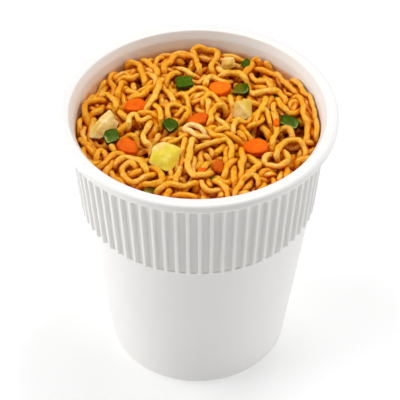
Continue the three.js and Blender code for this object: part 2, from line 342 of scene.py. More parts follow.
def build_cup():
    tilt = math.degrees(math.atan(BODY_SLOPE))
    foot_r = body_radius(FOOT_ROUND) - FOOT_ROUND / math.cos(math.radians(tilt))
    rows = []  # (radius, height, how far the flutes show)

    def put(points, flute=0.0):
        rows.extend((r, z, flute) for r, z in points)

    # underside: recess, foot ring, rounded foot
    put([(0.01, FOOT_RECESS), (6.0, FOOT_RECESS), (14.0, FOOT_RECESS), (foot_r - FOOT_RING - 1.3, FOOT_RECESS)])
    put(arc(foot_r - FOOT_RING - 1.3, FOOT_RECESS - 0.5, 0.5, 80, 20, 3))
    put(arc(foot_r - FOOT_RING + 0.35, 0.45, 0.45, 215, 270, 3))
    put([(foot_r - FOOT_RING + 1.4, 0.0), (foot_r - 0.6, 0.0)])
    put(arc(foot_r, FOOT_ROUND, FOOT_ROUND, -90, -tilt, 9))
    # plain body
    for z in np.linspace(FOOT_ROUND + 1.2, BAND_BOTTOM - 1.6, 9):
        rows.append((body_radius(z), z, 0.0))
    # foot of the band: ribs step out, grooves step in
    for z, s in ((-0.5, 0.0), (-0.22, 0.03), (-0.1, 0.2), (0.0, 0.55), (0.1, 0.85), (0.22, 0.97), (0.5, 1.0)):
        rows.append((None, BAND_BOTTOM + z, s))
    for z in np.linspace(BAND_BOTTOM + 1.6, LIP_Z - 0.9, 10):
        rows.append((None, z, 1.0))
    # flutes fade into the fillet under the lip
    for z, s in ((LIP_Z - 0.55, 0.96), (LIP_Z - 0.28, 0.8), (LIP_Z - 0.08, 0.5)):
        rows.append((None, z, s))
    put([(crest_radius(LIP_Z) + 0.35, LIP_Z + 0.02), (crest_radius(LIP_Z) + 1.5, LIP_Z + 0.04), (LIP_RADIUS - 1.3, LIP_Z + 0.02)])
    # lip: rounded lower edge, face, rounded top
    put(arc(LIP_RADIUS - 0.75, LIP_Z + 0.75, 0.75, -78, -6, 5))
    put([(LIP_RADIUS, LIP_Z + 1.2), (LIP_RADIUS - 0.05, CUP_HEIGHT - 1.5)])
    put(arc(LIP_RADIUS - 1.3, CUP_HEIGHT - 1.25, 1.25, 8, 88, 8))
    put([(LIP_RADIUS - 2.0, CUP_HEIGHT), (MOUTH_RADIUS + 1.1, CUP_HEIGHT - 0.02)])
    put(arc(MOUTH_RADIUS + 0.62, CUP_HEIGHT - 0.72, 0.68, 84, 168, 7))
    z0 = LIP_Z - 1.5
    inner = len(rows)
    put([(float(inside_radius(LIP_Z + 0.6)) + 0.18, LIP_Z + 0.7), (float(inside_radius(LIP_Z)) + 0.05, LIP_Z - 0.2)])
    for z in (z0, 97.2, 96.4, 95.8, 95.2, 94.4, 92.0, 86.0, 76.0, BAND_BOTTOM + 1.0):
        rows.append((float(inside_radius(z)), z, 0.0))
    for z in (BAND_BOTTOM - 1.0, 45.0, 25.0, FLOOR_Z + 3.0):
        rows.append((float(body_radius(z) - BODY_WALL), z, 0.0))
    ri = float(body_radius(FLOOR_Z) - BODY_WALL)
    put([(ri - 0.5, FLOOR_Z + 0.9), (ri - 2.4, FLOOR_Z), (14.0, FLOOR_Z), (0.01, FLOOR_Z)])

    # one rib's section: 0 on the crest, 1 on the groove's floor
    groove = np.tile([d for _, d in RIB_SECTION], RIB_COUNT)
    place = (np.arange(RIB_COUNT)[:, None] + np.array([t for t, _ in RIB_SECTION])[None, :]).ravel()
    ang = RIB_PHASE + place * 2 * np.pi / RIB_COUNT - np.pi / 2
    verts = []
    for r, z, s in rows:
        if r is None:
            band = crest_radius(z) - RIB_DEPTH * np.clip(groove, 0, None)
            rr = lerp(body_radius(min(z, BAND_BOTTOM)) if z < LIP_Z - 1 else crest_radius(z), band, s)
        else:
            rr = np.full(COLS, r)
        verts.append(np.stack([rr * np.cos(ang), rr * np.sin(ang), np.full(COLS, z)], 1))
    n = len(rows)
    ob = mesh_object("cup_shell", *close_ends(verts))

    def put_attribute(name, values):
        v = np.asarray(values) * np.ones((n, COLS))
        point_attribute(ob, name, np.concatenate([v[1:-1].ravel(), v[0, :1], v[-1, :1]]))

    # how far into a groove each point lies: the mask for the painted shade in the grooves
    put_attribute("groove", [np.clip(groove, 0, 1) * s * (z < LIP_Z) for r, z, s in rows])
    put_attribute("stain", [[(k >= inner) * float(smoothstep(-row[1], -97.4, -95.4))] for k, row in enumerate(rows)])
    # which side of the inside gets the painted shade (left) and the painted light (right)
    side = np.cos(ang)
    bare = np.array([k >= inner for k in range(n)], float)[:, None]
    put_attribute("film", bare * smoothstep(-side, 0.15, 0.85)[None])
    put_attribute("clean", bare * smoothstep(side, -0.45, 0.45)[None])
    return ob


cup = build_cup()
cm = Mat("cup_plastic", roughness=0.40, specular=0.45, subsurface=0.12, radius=(1.0, 0.95, 0.9), scale=0.0015)
tone = cm.noise(24.0, 2.0)
plastic = cm.ramp(tone, [(0.3, (0.868, 0.856, 0.838, 1)), (0.7, (0.892, 0.882, 0.866, 1))])
# painted shade: the grooves between the ribs are coloured darker
plastic = cm.mix(cm.math("MULTIPLY", cm.attribute("groove"), 0.28), plastic, (0.70, 0.682, 0.655, 1))
# inside, painted shade on the left: a warm, darker tint where the wall lies in shade and takes light from the noodles;
# painted light on the right: a cooler tint where the key light falls
plastic = cm.mix(cm.math("MULTIPLY", cm.attribute("film"), 0.16), plastic, (0.84, 0.66, 0.38, 1))
plastic = cm.mix(cm.attribute("clean"), plastic, (0.865, 0.900, 0.915, 1))
# oil from the noodles on the wall they touch, and painted shade where the noodles meet the wall
stain = cm.math("MULTIPLY", cm.attribute("stain"), cm.span(cm.noise(220.0, 2.0), 0.35, 0.6, 0.45, 0.9))
cm.link(cm.mix(stain, plastic, (0.78, 0.40, 0.10, 1)), "Base Color")
cm.link(cm.span(cm.noise(160.0, 3.0), 0.3, 0.7, 0.36, 0.44), "Roughness")
cm.bump(cm.math("ADD", cm.noise(900.0, 2.0), cm.math("MULTIPLY", cm.noise(70.0, 1.0), 1.5)), 0.12, 0.00012)
cup.data.materials.append(cm.m)
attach(cup, "root")
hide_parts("cup")

# ------------------------------------------------------------------ vegetables
KINDS = {
    "carrot": dict(squareness=0.90, edge=0.30, uneven=0.06, bend=0.0),
    "scallion": dict(squareness=0.5, edge=0.30, uneven=0.06, bend=0.05),
    "cabbage": dict(squareness=0.62, edge=0.5, uneven=0.12, bend=0.09),
}
# name, [across, along, thickness], [x, y], lift above the heap, spin, tilt to the front, tilt to the side
VEGETABLES = [
    ("carrot_1", (7.4, 5.6, 2.9), (-21.4, 10.1), -0.5, 10, 8, 4),
    ("carrot_2", (7.3, 5.4, 2.9), (7.7, 19.4), -0.5, -10, 18, -5),
    ("carrot_3", (7.0, 4.8, 2.8), (0.1, 2.5), -0.9, 12, 12, -3),
    ("carrot_4", (7.2, 6.0, 3.0), (-23.8, -10.8), -0.4, -22, 12, 8),
    ("carrot_5", (8.2, 6.4, 3.1), (19.7, -11.4), -0.5, 4, 14, -4),
    ("carrot_6", (3.8, 4.6, 2.6), (6.9, -20.7), -0.9, 24, 22, 6),
    ("scallion_1", (6.4, 4.5, 1.9), (-4.7, 22.4), 0.1, 4, 14, -3),
    ("scallion_2", (5.2, 4.3, 1.9), (15.2, 19.5), -0.5, -14, 18, -10),
    ("scallion_3", (4.5, 4.5, 1.8), (-9.3, -0.6), -0.3, 44, 24, 0),
    ("scallion_4", (5.3, 4.8, 2.1), (-29.2, -6.0), 0.5, 22, 20, 5),
    ("scallion_5", (6.4, 4.4, 2.1), (31.4, 2.1), 0.0, -24, 20, -6),
    ("scallion_6", (3.6, 2.8, 1.5), (17.2, 34.1), 0.5, 28, 26, 0),
    ("scallion_7", (6.0, 4.0, 1.8), (-14.9, -30.3), -0.5, 10, 20, 0),
    ("cabbage_1", (10.8, 10.2, 1.6), (-11.0, -16.2), -0.1, 14, 15, 2),
    ("cabbage_2", (9.2, 8.6, 1.4), (-31.5, 1.9), 0.2, 38, 22, 16),
    ("cabbage_3", (6.8, 7.2, 1.6), (15.6, 7.9), -0.3, -10, 22, -6),
    ("cabbage_4", (5.2, 4.6, 2.2), (10.9, 34.0), 0.6, 12, 22, 0),
]


def stream(seed):
    """The same small random stream that shaped the solids."""
    s = seed & 0xFFFFFFFF

    def imul(a, b):
        return (a * b) & 0xFFFFFFFF

    def nxt():
        nonlocal s
        s = (s + 0x6D2B79F5) & 0xFFFFFFFF
        t = imul(s ^ (s >> 15), s | 1)
        t ^= (t + imul(t ^ (t >> 7), t | 61)) & 0xFFFFFFFF
        return ((t ^ (t >> 14)) & 0xFFFFFFFF) / 4294967296
    return nxt


def rotation(spin, front, side):
    def rot(axis, deg):
        c, s = math.cos(math.radians(deg)), math.sin(math.radians(deg))
        return {"z": np.array([[c, -s, 0], [s, c, 0], [0, 0, 1]]),
                "x": np.array([[1, 0, 0], [0, c, -s], [0, s, c]]),
                "y": np.array([[c, 0, s], [0, 1, 0], [-s, 0, c]])}[axis]
    return rot("y", side) @ rot("x", front) @ rot("z", spin)


class Chip:
    def __init__(self, index, row):
        self.name, self.size, self.xy, lift, spin, front, side = row
        self.kind = KINDS[self.name.split("_")[0]]
        self.index = index
        self.R = rotation(spin, front, side)
        self.c = np.array([self.xy[0], self.xy[1], float(heap_dome(math.hypot(*self.xy))) + (lift or 0.0)])
        self.on_top = lift is None
        self.covered = self.name == "scallion_7"
        rnd = stream(101 + 17 * index)
        self.waves = []
        for n in (2, 3, 5):
            a = rnd() * 2 * math.pi
            k = (0.5 + rnd()) * self.kind["uneven"] / math.sqrt(n - 1)
            self.waves.append((n, a, k))
        self.bend_turn = rnd() * math.pi

    def surface(self, cols, rows):
        """Points on the chip in its own axes, with the angle and the height of each."""
        k = self.kind
        across, along, thick = self.size
        th = np.linspace(0, np.pi, rows)[:, None]
        a = (np.arange(cols) * 2 * np.pi / cols)[None, :] + 0 * th
        z = np.cos(th) + 0 * a
        pw = lambda x, p: np.sign(x) * np.abs(x) ** p
        out = np.abs(np.sin(th)) ** k["edge"]
        shape = 1 + sum(w * np.sin(n * a + t) for n, t, w in self.waves)
        x = pw(np.cos(a), k["squareness"]) * out * shape * across / 2
        y = pw(np.sin(a), k["squareness"]) * out * shape * along / 2
        u = x * math.cos(self.bend_turn) + y * math.sin(self.bend_turn)
        v = -x * math.sin(self.bend_turn) + y * math.cos(self.bend_turn)
        curl = k["bend"] * (u ** 2 / across * 1.6 - 0.8 * u * v / across)
        return np.stack([x, y, pw(z, k["edge"]) * thick / 2 + curl], -1), a, z, out

    def keep_clear(self, X, rad):
        """Move strand points off the chip: out from over it, or down from under it."""
        L = (X - self.c) @ self.R
        a, b, t = self.size[0] / 2, self.size[1] / 2, self.size[2] / 2
        m = (np.abs(L[:, 0]) < a + rad + 0.5) & (np.abs(L[:, 1]) < b + rad + 0.5) & (L[:, 2] > -t - rad) & (L[:, 2] < t + 14)
        i = np.nonzero(m)[0]
        if len(i) == 0:
            return
        l = L[i]
        over = l[:, 2] > t + 0.8 * rad
        ga = np.where(over, 0.80 * a, a + 0.75 * rad)
        gb = np.where(over, 0.80 * b, b + 0.75 * rad)
        rho = ((np.abs(l[:, 0]) / ga) ** 4 + (np.abs(l[:, 1]) / gb) ** 4) ** 0.25
        hit = rho < 1
        under = hit & (l[:, 2] < -0.1 * t)
        aside = hit & ~under
        l[under, 2] = np.minimum(l[under, 2], -t - rad)
        f = np.minimum(1 / np.maximum(rho[aside], 0.12), 1.6)
        l[aside, :2] *= (1 + 0.5 * (f - 1))[:, None]
        X[i] = l @ self.R.T + self.c


CHIPS = [Chip(i, row) for i, row in enumerate(VEGETABLES)]
# the long end of one leaf reaches past its middle, and strands keep off that too
leaf_end = Chip(14, VEGETABLES[14])
leaf_end.c = leaf_end.c + leaf_end.R @ np.array([-4.4, -1.9, 0.0])
leaf_end.size = (6.6, 5.0, 1.4)
SCRAPS = [
    ("carrot_a", (3.0, 1.9, 1.3), (26.8, -2.2), None, 75, 14, 0),
    ("carrot_b", (3.2, 2.2, 1.8), (1.3, -22.9), -0.6, 20, 14, 0),
    ("scallion_a", (2.8, 2.0, 1.1), (2.8, -4.3), -0.3, 10, 14, 0),
    ("scallion_b", (3.6, 2.6, 1.3), (5.1, -26.6), -1.0, -12, 14, 0),
    ("scallion_c", (2.6, 2.2, 1.2), (27.2, 16.4), -0.6, 40, 16, 0),
]


# ------------------------------------------------------------------ noodle strands
def wander(rng, n, step):
    """Values about -1 to 1 that change over about step samples."""
    k = rng.uniform(-1, 1, int(math.ceil(n / step)) + 4)
    x = np.arange(n) / step + rng.uniform(0, 1)
    i = x.astype(int)
    f = x - i
    f = f * f * (3 - 2 * f)
    return k[i] * (1 - f) + k[i + 1] * f


def wavy_strand(rng, n, ds, tilt):
    """A curly strand: it turns one way for a while, then the other, and its plane twists."""
    turn = np.tanh(5 * wander(rng, n, 15 / ds)) * (0.27 + 0.12 * wander(rng, n, 8 / ds))
    twist = 0.11 * wander(rng, n, 9 / ds)
    t, u, w = np.eye(3)
    p, at = [], np.zeros(3)
    for k in range(n):
        at = at + t * ds
        p.append(at)
        t2 = t + ds * turn[k] * u
        u2 = u - ds * turn[k] * t + ds * twist[k] * w
        t = t2 / math.sqrt(t2 @ t2)
        u2 = u2 - t * (t @ u2)
        u = u2 / math.sqrt(u2 @ u2)
        w = np.array([t[1] * u[2] - t[2] * u[1], t[2] * u[0] - t[0] * u[2], t[0] * u[1] - t[1] * u[0]])
    p = np.array(p)
    p -= p.mean(0)
    spin, lean, way = rng.uniform(0, 360), rng.uniform(-tilt, tilt), rng.uniform(0, 360)
    return p @ (rotation(way, 0, 0) @ rotation(0, lean, 0) @ rotation(spin, 0, 0)).T


# strands that lie on top of the heap: height over it, then places along the strand
# (x, y, or x, y and a height of its own)
TOP_STRANDS = [
    (1, [(-30.4, -15.8), (-31.5, -13.8), (-33.2, -14.1), (-34.1, -16.8), (-33.6, -19.6), (-31.9, -21.2), (-30.3, -19.6), (-29.4, -16.9), (-28.1, -15.1), (-26.7, -14.8)]),
    (0.6, [(-39.8, -3.2, -2.5), (-39.8, -3.1, -1.8), (-38.7, -7.5), (-37.7, -10.1), (-36.3, -12.3), (-34.2, -14)]),
    (1.2, [(-27.3, -19.2), (-25.6, -17.7), (-23.7, -16.9), (-21.9, -18.2), (-19.9, -19.8), (-18.5, -21.7), (-17.2, -23.4)]),
    (0.8, [(-20.6, -20.7), (-22.6, -19.4), (-24.6, -20.4), (-25.2, -22.6), (-24.1, -25.5), (-22.1, -27.6), (-20.1, -28), (-18.1, -27), (-16.5, -25.1)]),
    (0.4, [(-22.1, -25), (-20.2, -24), (-18.2, -23), (-15.9, -21.5), (-13.9, -22.5), (-12.3, -24.9), (-11.6, -28.2, 1.0), (-12.9, -30.0, 1.8), (-15.2, -30.5, 2.0), (-17.4, -30.0, 1.6)]),
    (0.3, [(-30.2, -22.1), (-29.3, -19.4), (-28.3, -18.1)]),
    (0.2, [(-31.3, -21), (-29.2, -23.2), (-27.5, -25.4), (-25.4, -27)]),
    (0.8, [(-3.6, -9.9), (-3.8, -14.2), (-4.2, -19), (-5.2, -22.7), (-6.5, -25.9), (-7.5, -28.6)]),
    (0.6, [(-11.4, -32.2), (-10.1, -30.3), (-8.2, -29.5), (-5.5, -30.4), (-2.9, -30.2), (-0.2, -28.9)]),
    (0.2, [(-11.8, -32.7), (-9.8, -34), (-7.1, -33.5), (-4.5, -34.2), (-1.9, -34.6)]),
    (0.5, [(-16.3, 1.1), (-17.2, -2.5), (-18.5, -5.5), (-18.1, -8.5), (-16.4, -11.1)]),
    (0.4, [(-22.8, 1.6), (-24.4, -0.4), (-26.1, -2.8)]),
    (0.6, [(-10.3, -10.5), (-8, -9.6), (-5.6, -7.9), (-3.6, -6.6)]),
    (1.2, [(-0.2, -8.8), (-1.9, -9.3), (-2.6, -11.8), (-2.1, -15.7), (-2.2, -19.4), (-2.7, -22.7), (-1.9, -25.9), (0.1, -27.9), (2.4, -27.3), (4.1, -25.4), (5.1, -23.1)]),
    (0.5, [(-28.3, -9.2), (-28.8, -12.1), (-27.4, -14.2), (-25.8, -12.9)]),
    (1.4, [(26.6, -15.7), (27.3, -12.5), (29.1, -10.1), (31.2, -8.4), (33.5, -8.1), (35.5, -10.3), (36.7, -13.5), (36.7, -15.7, 0.3), (35.2, -18.7, 0.3)]),
    (0.9, [(28.6, -14), (29.9, -16.3), (29.8, -19.1), (28.1, -21.1), (25.7, -21.8), (23.4, -21.1), (21.8, -19.8), (22.5, -17.4), (24.6, -15.8), (26.6, -15.6)]),
    (0.3, [(29.2, -19.9), (29.7, -23.1), (29, -25.8)]),
    (1, [(11.9, -34.7), (13.1, -32.1), (14, -29.2), (15.7, -27.3), (17.7, -26.6), (19.6, -27.8), (20.7, -30.3)]),
    (0.9, [(16, -27), (17.7, -24.4), (19.7, -22), (21.1, -20.8), (19.5, -19.2), (17.5, -18.2), (15.8, -17.3)]),
    (0.9, [(15.2, -14), (14.8, -17.9), (13.9, -21.2), (14.4, -24.4), (14.8, -27.5)]),
    (0.6, [(13.8, -18.1), (11.8, -20.5), (10.4, -23.3), (9, -26.5)]),
    (0.3, [(12.1, -22), (11.7, -25.7), (12.7, -29.2)]),
    (0.9, [(0.4, -13.4), (2.8, -12.4), (5.1, -11.4), (7.2, -9.9), (9.2, -9.1), (10.9, -10.8), (11.7, -13.7), (11.8, -17)]),
    (0.3, [(-0.9, -5.3), (0.8, -7.8), (2.8, -9.8), (4.8, -10.3)]),
    (0.6, [(2.8, -4.1), (4.8, -5.9), (6.9, -7.8), (8.9, -8)]),
    (0.5, [(8.9, -5.7), (10.9, -5.9), (12.9, -7), (14.4, -9.7), (15.4, -12.6)]),
    (0.9, [(14, -6.2), (15.3, -8.6), (16.6, -11.5)]),
    (0.8, [(18.5, 1.4), (15.8, -0.6), (13, -0.5), (11.8, -2.6), (11.9, -5.7)]),
    (0.5, [(13.7, 0.4), (15.4, -2.4), (17, -5.3)]),
    (0.6, [(17.1, -2.1), (19.2, -1.2), (20.9, 1.2), (21.7, 4.5)]),
    (0.3, [(20.2, 1), (21.9, -1.5), (23.9, -3.4)]),
    (0.9, [(24.8, 4.9), (26, 1.3), (27, -2.3), (26.2, -5.9), (25.4, -9.4), (24.3, -12.5)]),
    (0.7, [(26.9, -3), (29, -1.3), (31, -2.4), (32, -5.6)]),
    (0.6, [(36.9, 7.8), (38.5, 4.3), (39.4, 0.3), (39.8, -3.1), (39.8, -3.2, -2.5), (39.8, -3.1, -5.4)]),
    (0.7, [(5.2, 2), (7.3, 0.5), (9.6, -1.3), (10.3, -3.6), (8.2, -5.7), (6.2, -6.2)]),
    (0.2, [(2.8, -17), (3.8, -19.3), (4.4, -22.1)]),
    (0.6, [(0.8, -28.7), (2.1, -30.7), (3.7, -32.6), (6, -32.8), (8, -32.3)]),
    (0.8, [(7, -28.6), (7.7, -30.8), (9, -32.9), (10.3, -35)]),
    (0, [(21.1, -23.1), (22.7, -25.2), (25, -24.6)]),
    (1.3, [(2.2, -6.0, 0.4), (1.3, -4.0), (-0.5, -2.6), (-3.0, -2.2), (-4.8, -3.3), (-4.8, -4.9), (-3.0, -6.3), (-0.8, -7.8, 1.0), (1.2, -9.2, 0.8), (3.7, -9.0, 0.4)]),
    (1.4, [(-23.5, 32.3, 3.2), (-22.1, 32.4), (-20.3, 29.9), (-19.2, 26.6), (-18, 23.5)]),
    (0.8, [(-27.6, 25.3), (-25.8, 25.4), (-23.3, 24.8), (-20.9, 26.7), (-18.5, 27.7), (-16.4, 26.3), (-14.7, 23.2)]),
    (0.6, [(-25.8, 24.1), (-26.6, 20.6), (-27, 17.1)]),
    (0.8, [(-25.6, 17.9), (-23.2, 17.4), (-20.7, 16.3)]),
    (0.7, [(-23.8, 14.7), (-21.4, 14.7), (-19, 16), (-16.6, 17.8), (-14.5, 20)]),
    (0.5, [(-19.7, 18.6), (-17.6, 19.9), (-15.6, 21.5), (-13.9, 23.8)]),
    (1.3, [(-12.8, 21.5), (-13.6, 17.5), (-14.4, 13.5), (-15.6, 10.3), (-16.9, 7.1)]),
    (1, [(-12.8, 20.1), (-11.5, 17.5), (-9.9, 14.8), (-9, 11.5)]),
    (0.8, [(-39, 5.3), (-39, 8.6, 1.2), (-37.9, 11.7), (-35.8, 12.4), (-33.8, 13.8)]),
    (1.2, [(-32.8, 15.4), (-31.5, 16.4), (-30.3, 13.9), (-29.2, 11), (-27.7, 8.6), (-26.6, 5.8)]),
    (-0.6, [(-31.6, 11.4), (-33.4, 9.4), (-35.6, 7.6), (-37.4, 5.0)]),
    (0.5, [(-29.5, 9.7), (-28.1, 6.8), (-25.9, 4.9), (-23.9, 3.9)]),
    (0.8, [(-24.1, 0.2), (-22.8, 3.5), (-21.6, 4.5), (-20.4, 2), (-18.3, 0.6), (-16.3, 1.8)]),
    (0.5, [(-18.4, 5.7), (-16.3, 5.3), (-14.3, 4.1)]),
    (0.6, [(-14.3, 8.9), (-12.9, 6.1), (-12.5, 2.3)]),
    (0.8, [(-11.2, 2), (-11.2, 5.2), (-10, 7.9), (-8.1, 9.2), (-6.1, 8.3)]),
    (1.2, [(-11.7, 29.5), (-11, 33), (-9.4, 35.2), (-7, 37.1), (-4.2, 38), (-1.7, 36.6), (-0.1, 33.6), (0.1, 28.6)]),
    (0.6, [(-15.7, 28.7), (-14.4, 32.4), (-13.4, 36.3), (-11.9, 34.2)]),
    (0.2, [(-16.1, 29.3), (-13.3, 29.7), (-10.8, 28.3)]),
    (0.5, [(-7.6, 27.8), (-9.7, 25.7), (-11.8, 22.8)]),
    (0.3, [(-6.6, 29.3), (-4.1, 28.9), (-1.6, 26.7)]),
    (0.6, [(-7.2, 14.7), (-5.4, 15.2), (-3.7, 13.2), (-3.2, 9.6)]),
    (0.6, [(-6.4, 5.3), (-4.7, 7.2), (-3.3, 5.8), (-4.3, 2.6)]),
    (1, [(-1.3, 35.2), (-1.1, 39.9, 1.6), (0.1, 39.9, 3.8), (2.2, 39.8, 3.4), (4.4, 39.7, 2.4), (6.1, 39.4), (7, 35.4)]),
    (0.6, [(7.2, 34.6), (5.8, 32.6), (5, 28.8)]),
    (0.9, [(6.1, 31.6), (7.5, 29.7), (8.9, 26.7)]),
    (1.1, [(8.9, 26.4), (11.7, 27.5), (14.5, 27.3), (16.2, 25), (17.3, 20.9), (18.3, 17.4), (19.8, 14.7), (22.3, 15.5), (24.7, 17.4), (27.2, 18), (28.9, 16.1), (30, 12.9)]),
    (0.6, [(18.7, 27.1), (19.7, 24.1), (21, 21.5), (23.2, 22.6), (24.9, 22.8), (25.3, 19.3)]),
    (1, [(16.9, 27.6), (18.4, 30.9), (19.7, 34.7, 1.2), (20.9, 34, 3.4)]),
    (0.5, [(26, 25.5), (28.8, 25), (31.6, 24.2), (33.9, 21, 1.2), (35.6, 18), (36.8, 13.5), (37.7, 9.2), (38.6, 5.5)]),
    (0.6, [(27.7, 11.5), (28.7, 8.6), (30.3, 6.9), (32.7, 5.8), (35.2, 7.3), (36.7, 10.6)]),
    (0.4, [(32.5, 8.5), (33.3, 11.9), (35.1, 14.2), (36.4, 12.5)]),
    (1, [(20.5, 0.7), (21.5, 4.5), (22.9, 6.8), (23.9, 4.7), (24.8, 1.6)]),
    (0.6, [(23.6, 13.9), (22.8, 10.5), (22.1, 7.2)]),
    (0.3, [(27, 11.3), (26.2, 7.9), (26.8, 4.2)]),
    (0.8, [(7.3, 8.3), (5.6, 6.7), (4.4, 4), (3.5, 1.3)]),
    (0.7, [(1.8, 11.1), (3.6, 14.2), (5.6, 13.1), (6.6, 11.2)]),
    (0.5, [(10.1, 14.9), (11.5, 12.2), (11.8, 8.9)]),
    (0.4, [(-0.2, 13.7), (1.8, 17.4), (3.6, 19.5)]),
    (0.5, [(2.9, 21.1), (3.6, 24.1), (5.7, 25.3), (7.8, 24.1)]),
    (0.4, [(2.9, 11), (3.2, 7.1), (2.2, 5)]),
    (0.4, [(33.0, 23.0, 1.4), (36.6, 16.0, 1.9), (39.2, 9.0, 1.9), (40.2, 2.0, 1.6), (40.0, -5.0, 0.6)]),
]
# strands that lie lower, where the heap would show gaps
DEEP_STRANDS = [
    (-1.8, [(6.0, 29.2), (9.0, 30.6), (12.2, 29.4), (15.2, 31.0)]),
    (-2.4, [(8.4, 33.6), (10.8, 30.8), (14.2, 28.6)]),
    (-2.0, [(-27.0, -4.8), (-23.8, -3.0), (-20.6, -4.8)]),
    (-2.6, [(-25.0, -7.4), (-22.4, -4.6), (-21.0, -1.4)]),
    (-2.0, [(-15.0, -5.2), (-11.8, -6.8), (-8.6, -5.6)]),
]
PALE_STRAND = 40  # the thin strand with hardly any sauce on it
# strands that lie round the wall: radius, angle at both ends, heights over the heap
WALL_STRANDS = [
    (39.9, 86, 112, (0.6, 1.4, 1.0, 0.2)),
    (39.8, 108, 137, (0.2, 0.7, 0.9, 0.3, -0.6)),
    (37.5, 100, 128, (0.3, 0.7, 0.2, 0.5)),
    (38.6, 88, 106, (-1.6, -1.0, -1.4)),
    (39.9, 58, 84, (-0.2, 0.5, 0.7, 0.3, 0.5)),
    (37.7, 62, 90, (0.3, 0.6, 0.1, 0.5)),
    (39.9, 140, 178, (-1.0, -0.8, -0.8, -0.4, -0.2)),
    (37.4, 148, 190, (-0.6, -0.9, -0.5, -0.8)),
    (39.9, 176, 208, (-0.4, -0.3, -0.6, -1.0)),
    (38.0, -18, 22, (0.4, 1.0, 1.4, 1.0)),
    (38.6, 24, 56, (0.8, 1.4, 1.2, 0.8)),
    (39.6, 216, 250, (-0.8, -0.2, -0.5, -0.9)),
    (39.4, 247, 283, (-0.9, -0.3, -0.6, -0.2)),
    (39.6, 281, 318, (-0.4, -0.8, -0.3, -0.7)),
    (37.2, 234, 262, (-1.6, -1.2, -1.6)),
    (37.0, 262, 300, (-1.4, -1.7, -1.2)),
]
for k, (r, a0, a1, heights) in enumerate(WALL_STRANDS):
    turn = np.radians(np.linspace(a0, a1, len(heights)))
    TOP_STRANDS.append((0.0, [((r - 0.9 * ((i + k) % 2)) * math.cos(a), (r - 0.9 * ((i + k) % 2)) * math.sin(a), h) for i, (a, h) in enumerate(zip(turn, heights))]))


def spline(q, ds):
    """A smooth path through the places, sampled every ds."""
    q = np.asarray(q, float)
    n = len(q)
    t = np.linspace(0, n - 1.000001, 40 * n)
    i = t.astype(int)
    f = (t - i)[:, None]
    g = lambda k: q[np.clip(i + k, 0, n - 1)]
    a, b, c, e = g(-1), g(0), g(1), g(2)
    p = 0.5 * (2 * b + (c - a) * f + (2 * a - 5 * b + 4 * c - e) * f ** 2 + (3 * b - a - 3 * c + e) * f ** 3)
    d = np.concatenate([[0], np.cumsum(np.linalg.norm(np.diff(p, axis=0), axis=1))])
    s = np.arange(0, d[-1], ds)
    return np.stack([np.interp(s, d, p[:, k]) for k in range(3)], 1), s, d[-1]


def laid_strand(lift, places, ds, rng):
    """A strand through its places, with both ends led down into the heap, and how firmly it is held."""
    q = [np.array([p[0], p[1], p[2] if len(p) > 2 else lift], float) for p in places]
    for end in (0, -1):
        d = q[0] - q[1] if end == 0 else q[-1] - q[-2]
        d[2] = 0
        d /= np.linalg.norm(d) + 1e-9
        side = np.array([-d[1], d[0], 0]) * rng.uniform(-1, 1)
        tip = q[0] if end == 0 else q[-1]
        more = [tip + 1.7 * d + 0.3 * side + [0, 0, -1.0 - tip[2] * 0.5], tip + 2.8 * d + 1.2 * side + [0, 0, -3.4 - tip[2]], tip + 3.4 * d + 3.0 * side + [0, 0, -5.6 - tip[2]]]
        q = more[::-1] + q if end == 0 else q + more
    q = np.array(q)
    q[:, 2] += heap_dome(np.hypot(q[:, 0], q[:, 1]))
    p, s, total = spline(q, ds)
    hold = smoothstep(np.minimum(s, total - s), 4.0, 7.0)
    return p, hold


HALF = [(0, 0, 0), (1, 0, 0), (0, 1, 0), (0, 0, 1), (1, 1, 0), (1, -1, 0), (1, 0, 1), (1, 0, -1), (0, 1, 1), (0, 1, -1), (1, 1, 1), (1, 1, -1), (1, -1, 1), (1, -1, -1)]


def near_pairs(X, h):
    """Pairs of points closer than h, by a grid of cells."""
    C = np.floor((X - X.min(0)) / h).astype(np.int64) + 1
    D = C.max(0) + 2
    key = (C[:, 0] * D[1] + C[:, 1]) * D[2] + C[:, 2]
    order = np.argsort(key, kind="stable")
    ks = key[order]
    idx = np.arange(len(X))
    ii, jj = [], []
    for off in HALF:
        d = (off[0] * D[1] + off[1]) * D[2] + off[2]
        hi = np.searchsorted(ks, ks + d, "right")
        lo = idx + 1 if d == 0 else np.searchsorted(ks, ks + d, "left")
        cnt = np.maximum(hi - lo, 0)
        tot = int(cnt.sum())
        if tot == 0:
            continue
        within = np.arange(tot) - np.repeat(np.cumsum(cnt) - cnt, cnt)
        ii.append(order[np.repeat(idx, cnt)])
        jj.append(order[np.repeat(lo, cnt) + within])
    i, j = np.concatenate(ii), np.concatenate(jj)
    k = ((X[i] - X[j]) ** 2).sum(1) < h * h
    return i[k], j[k]


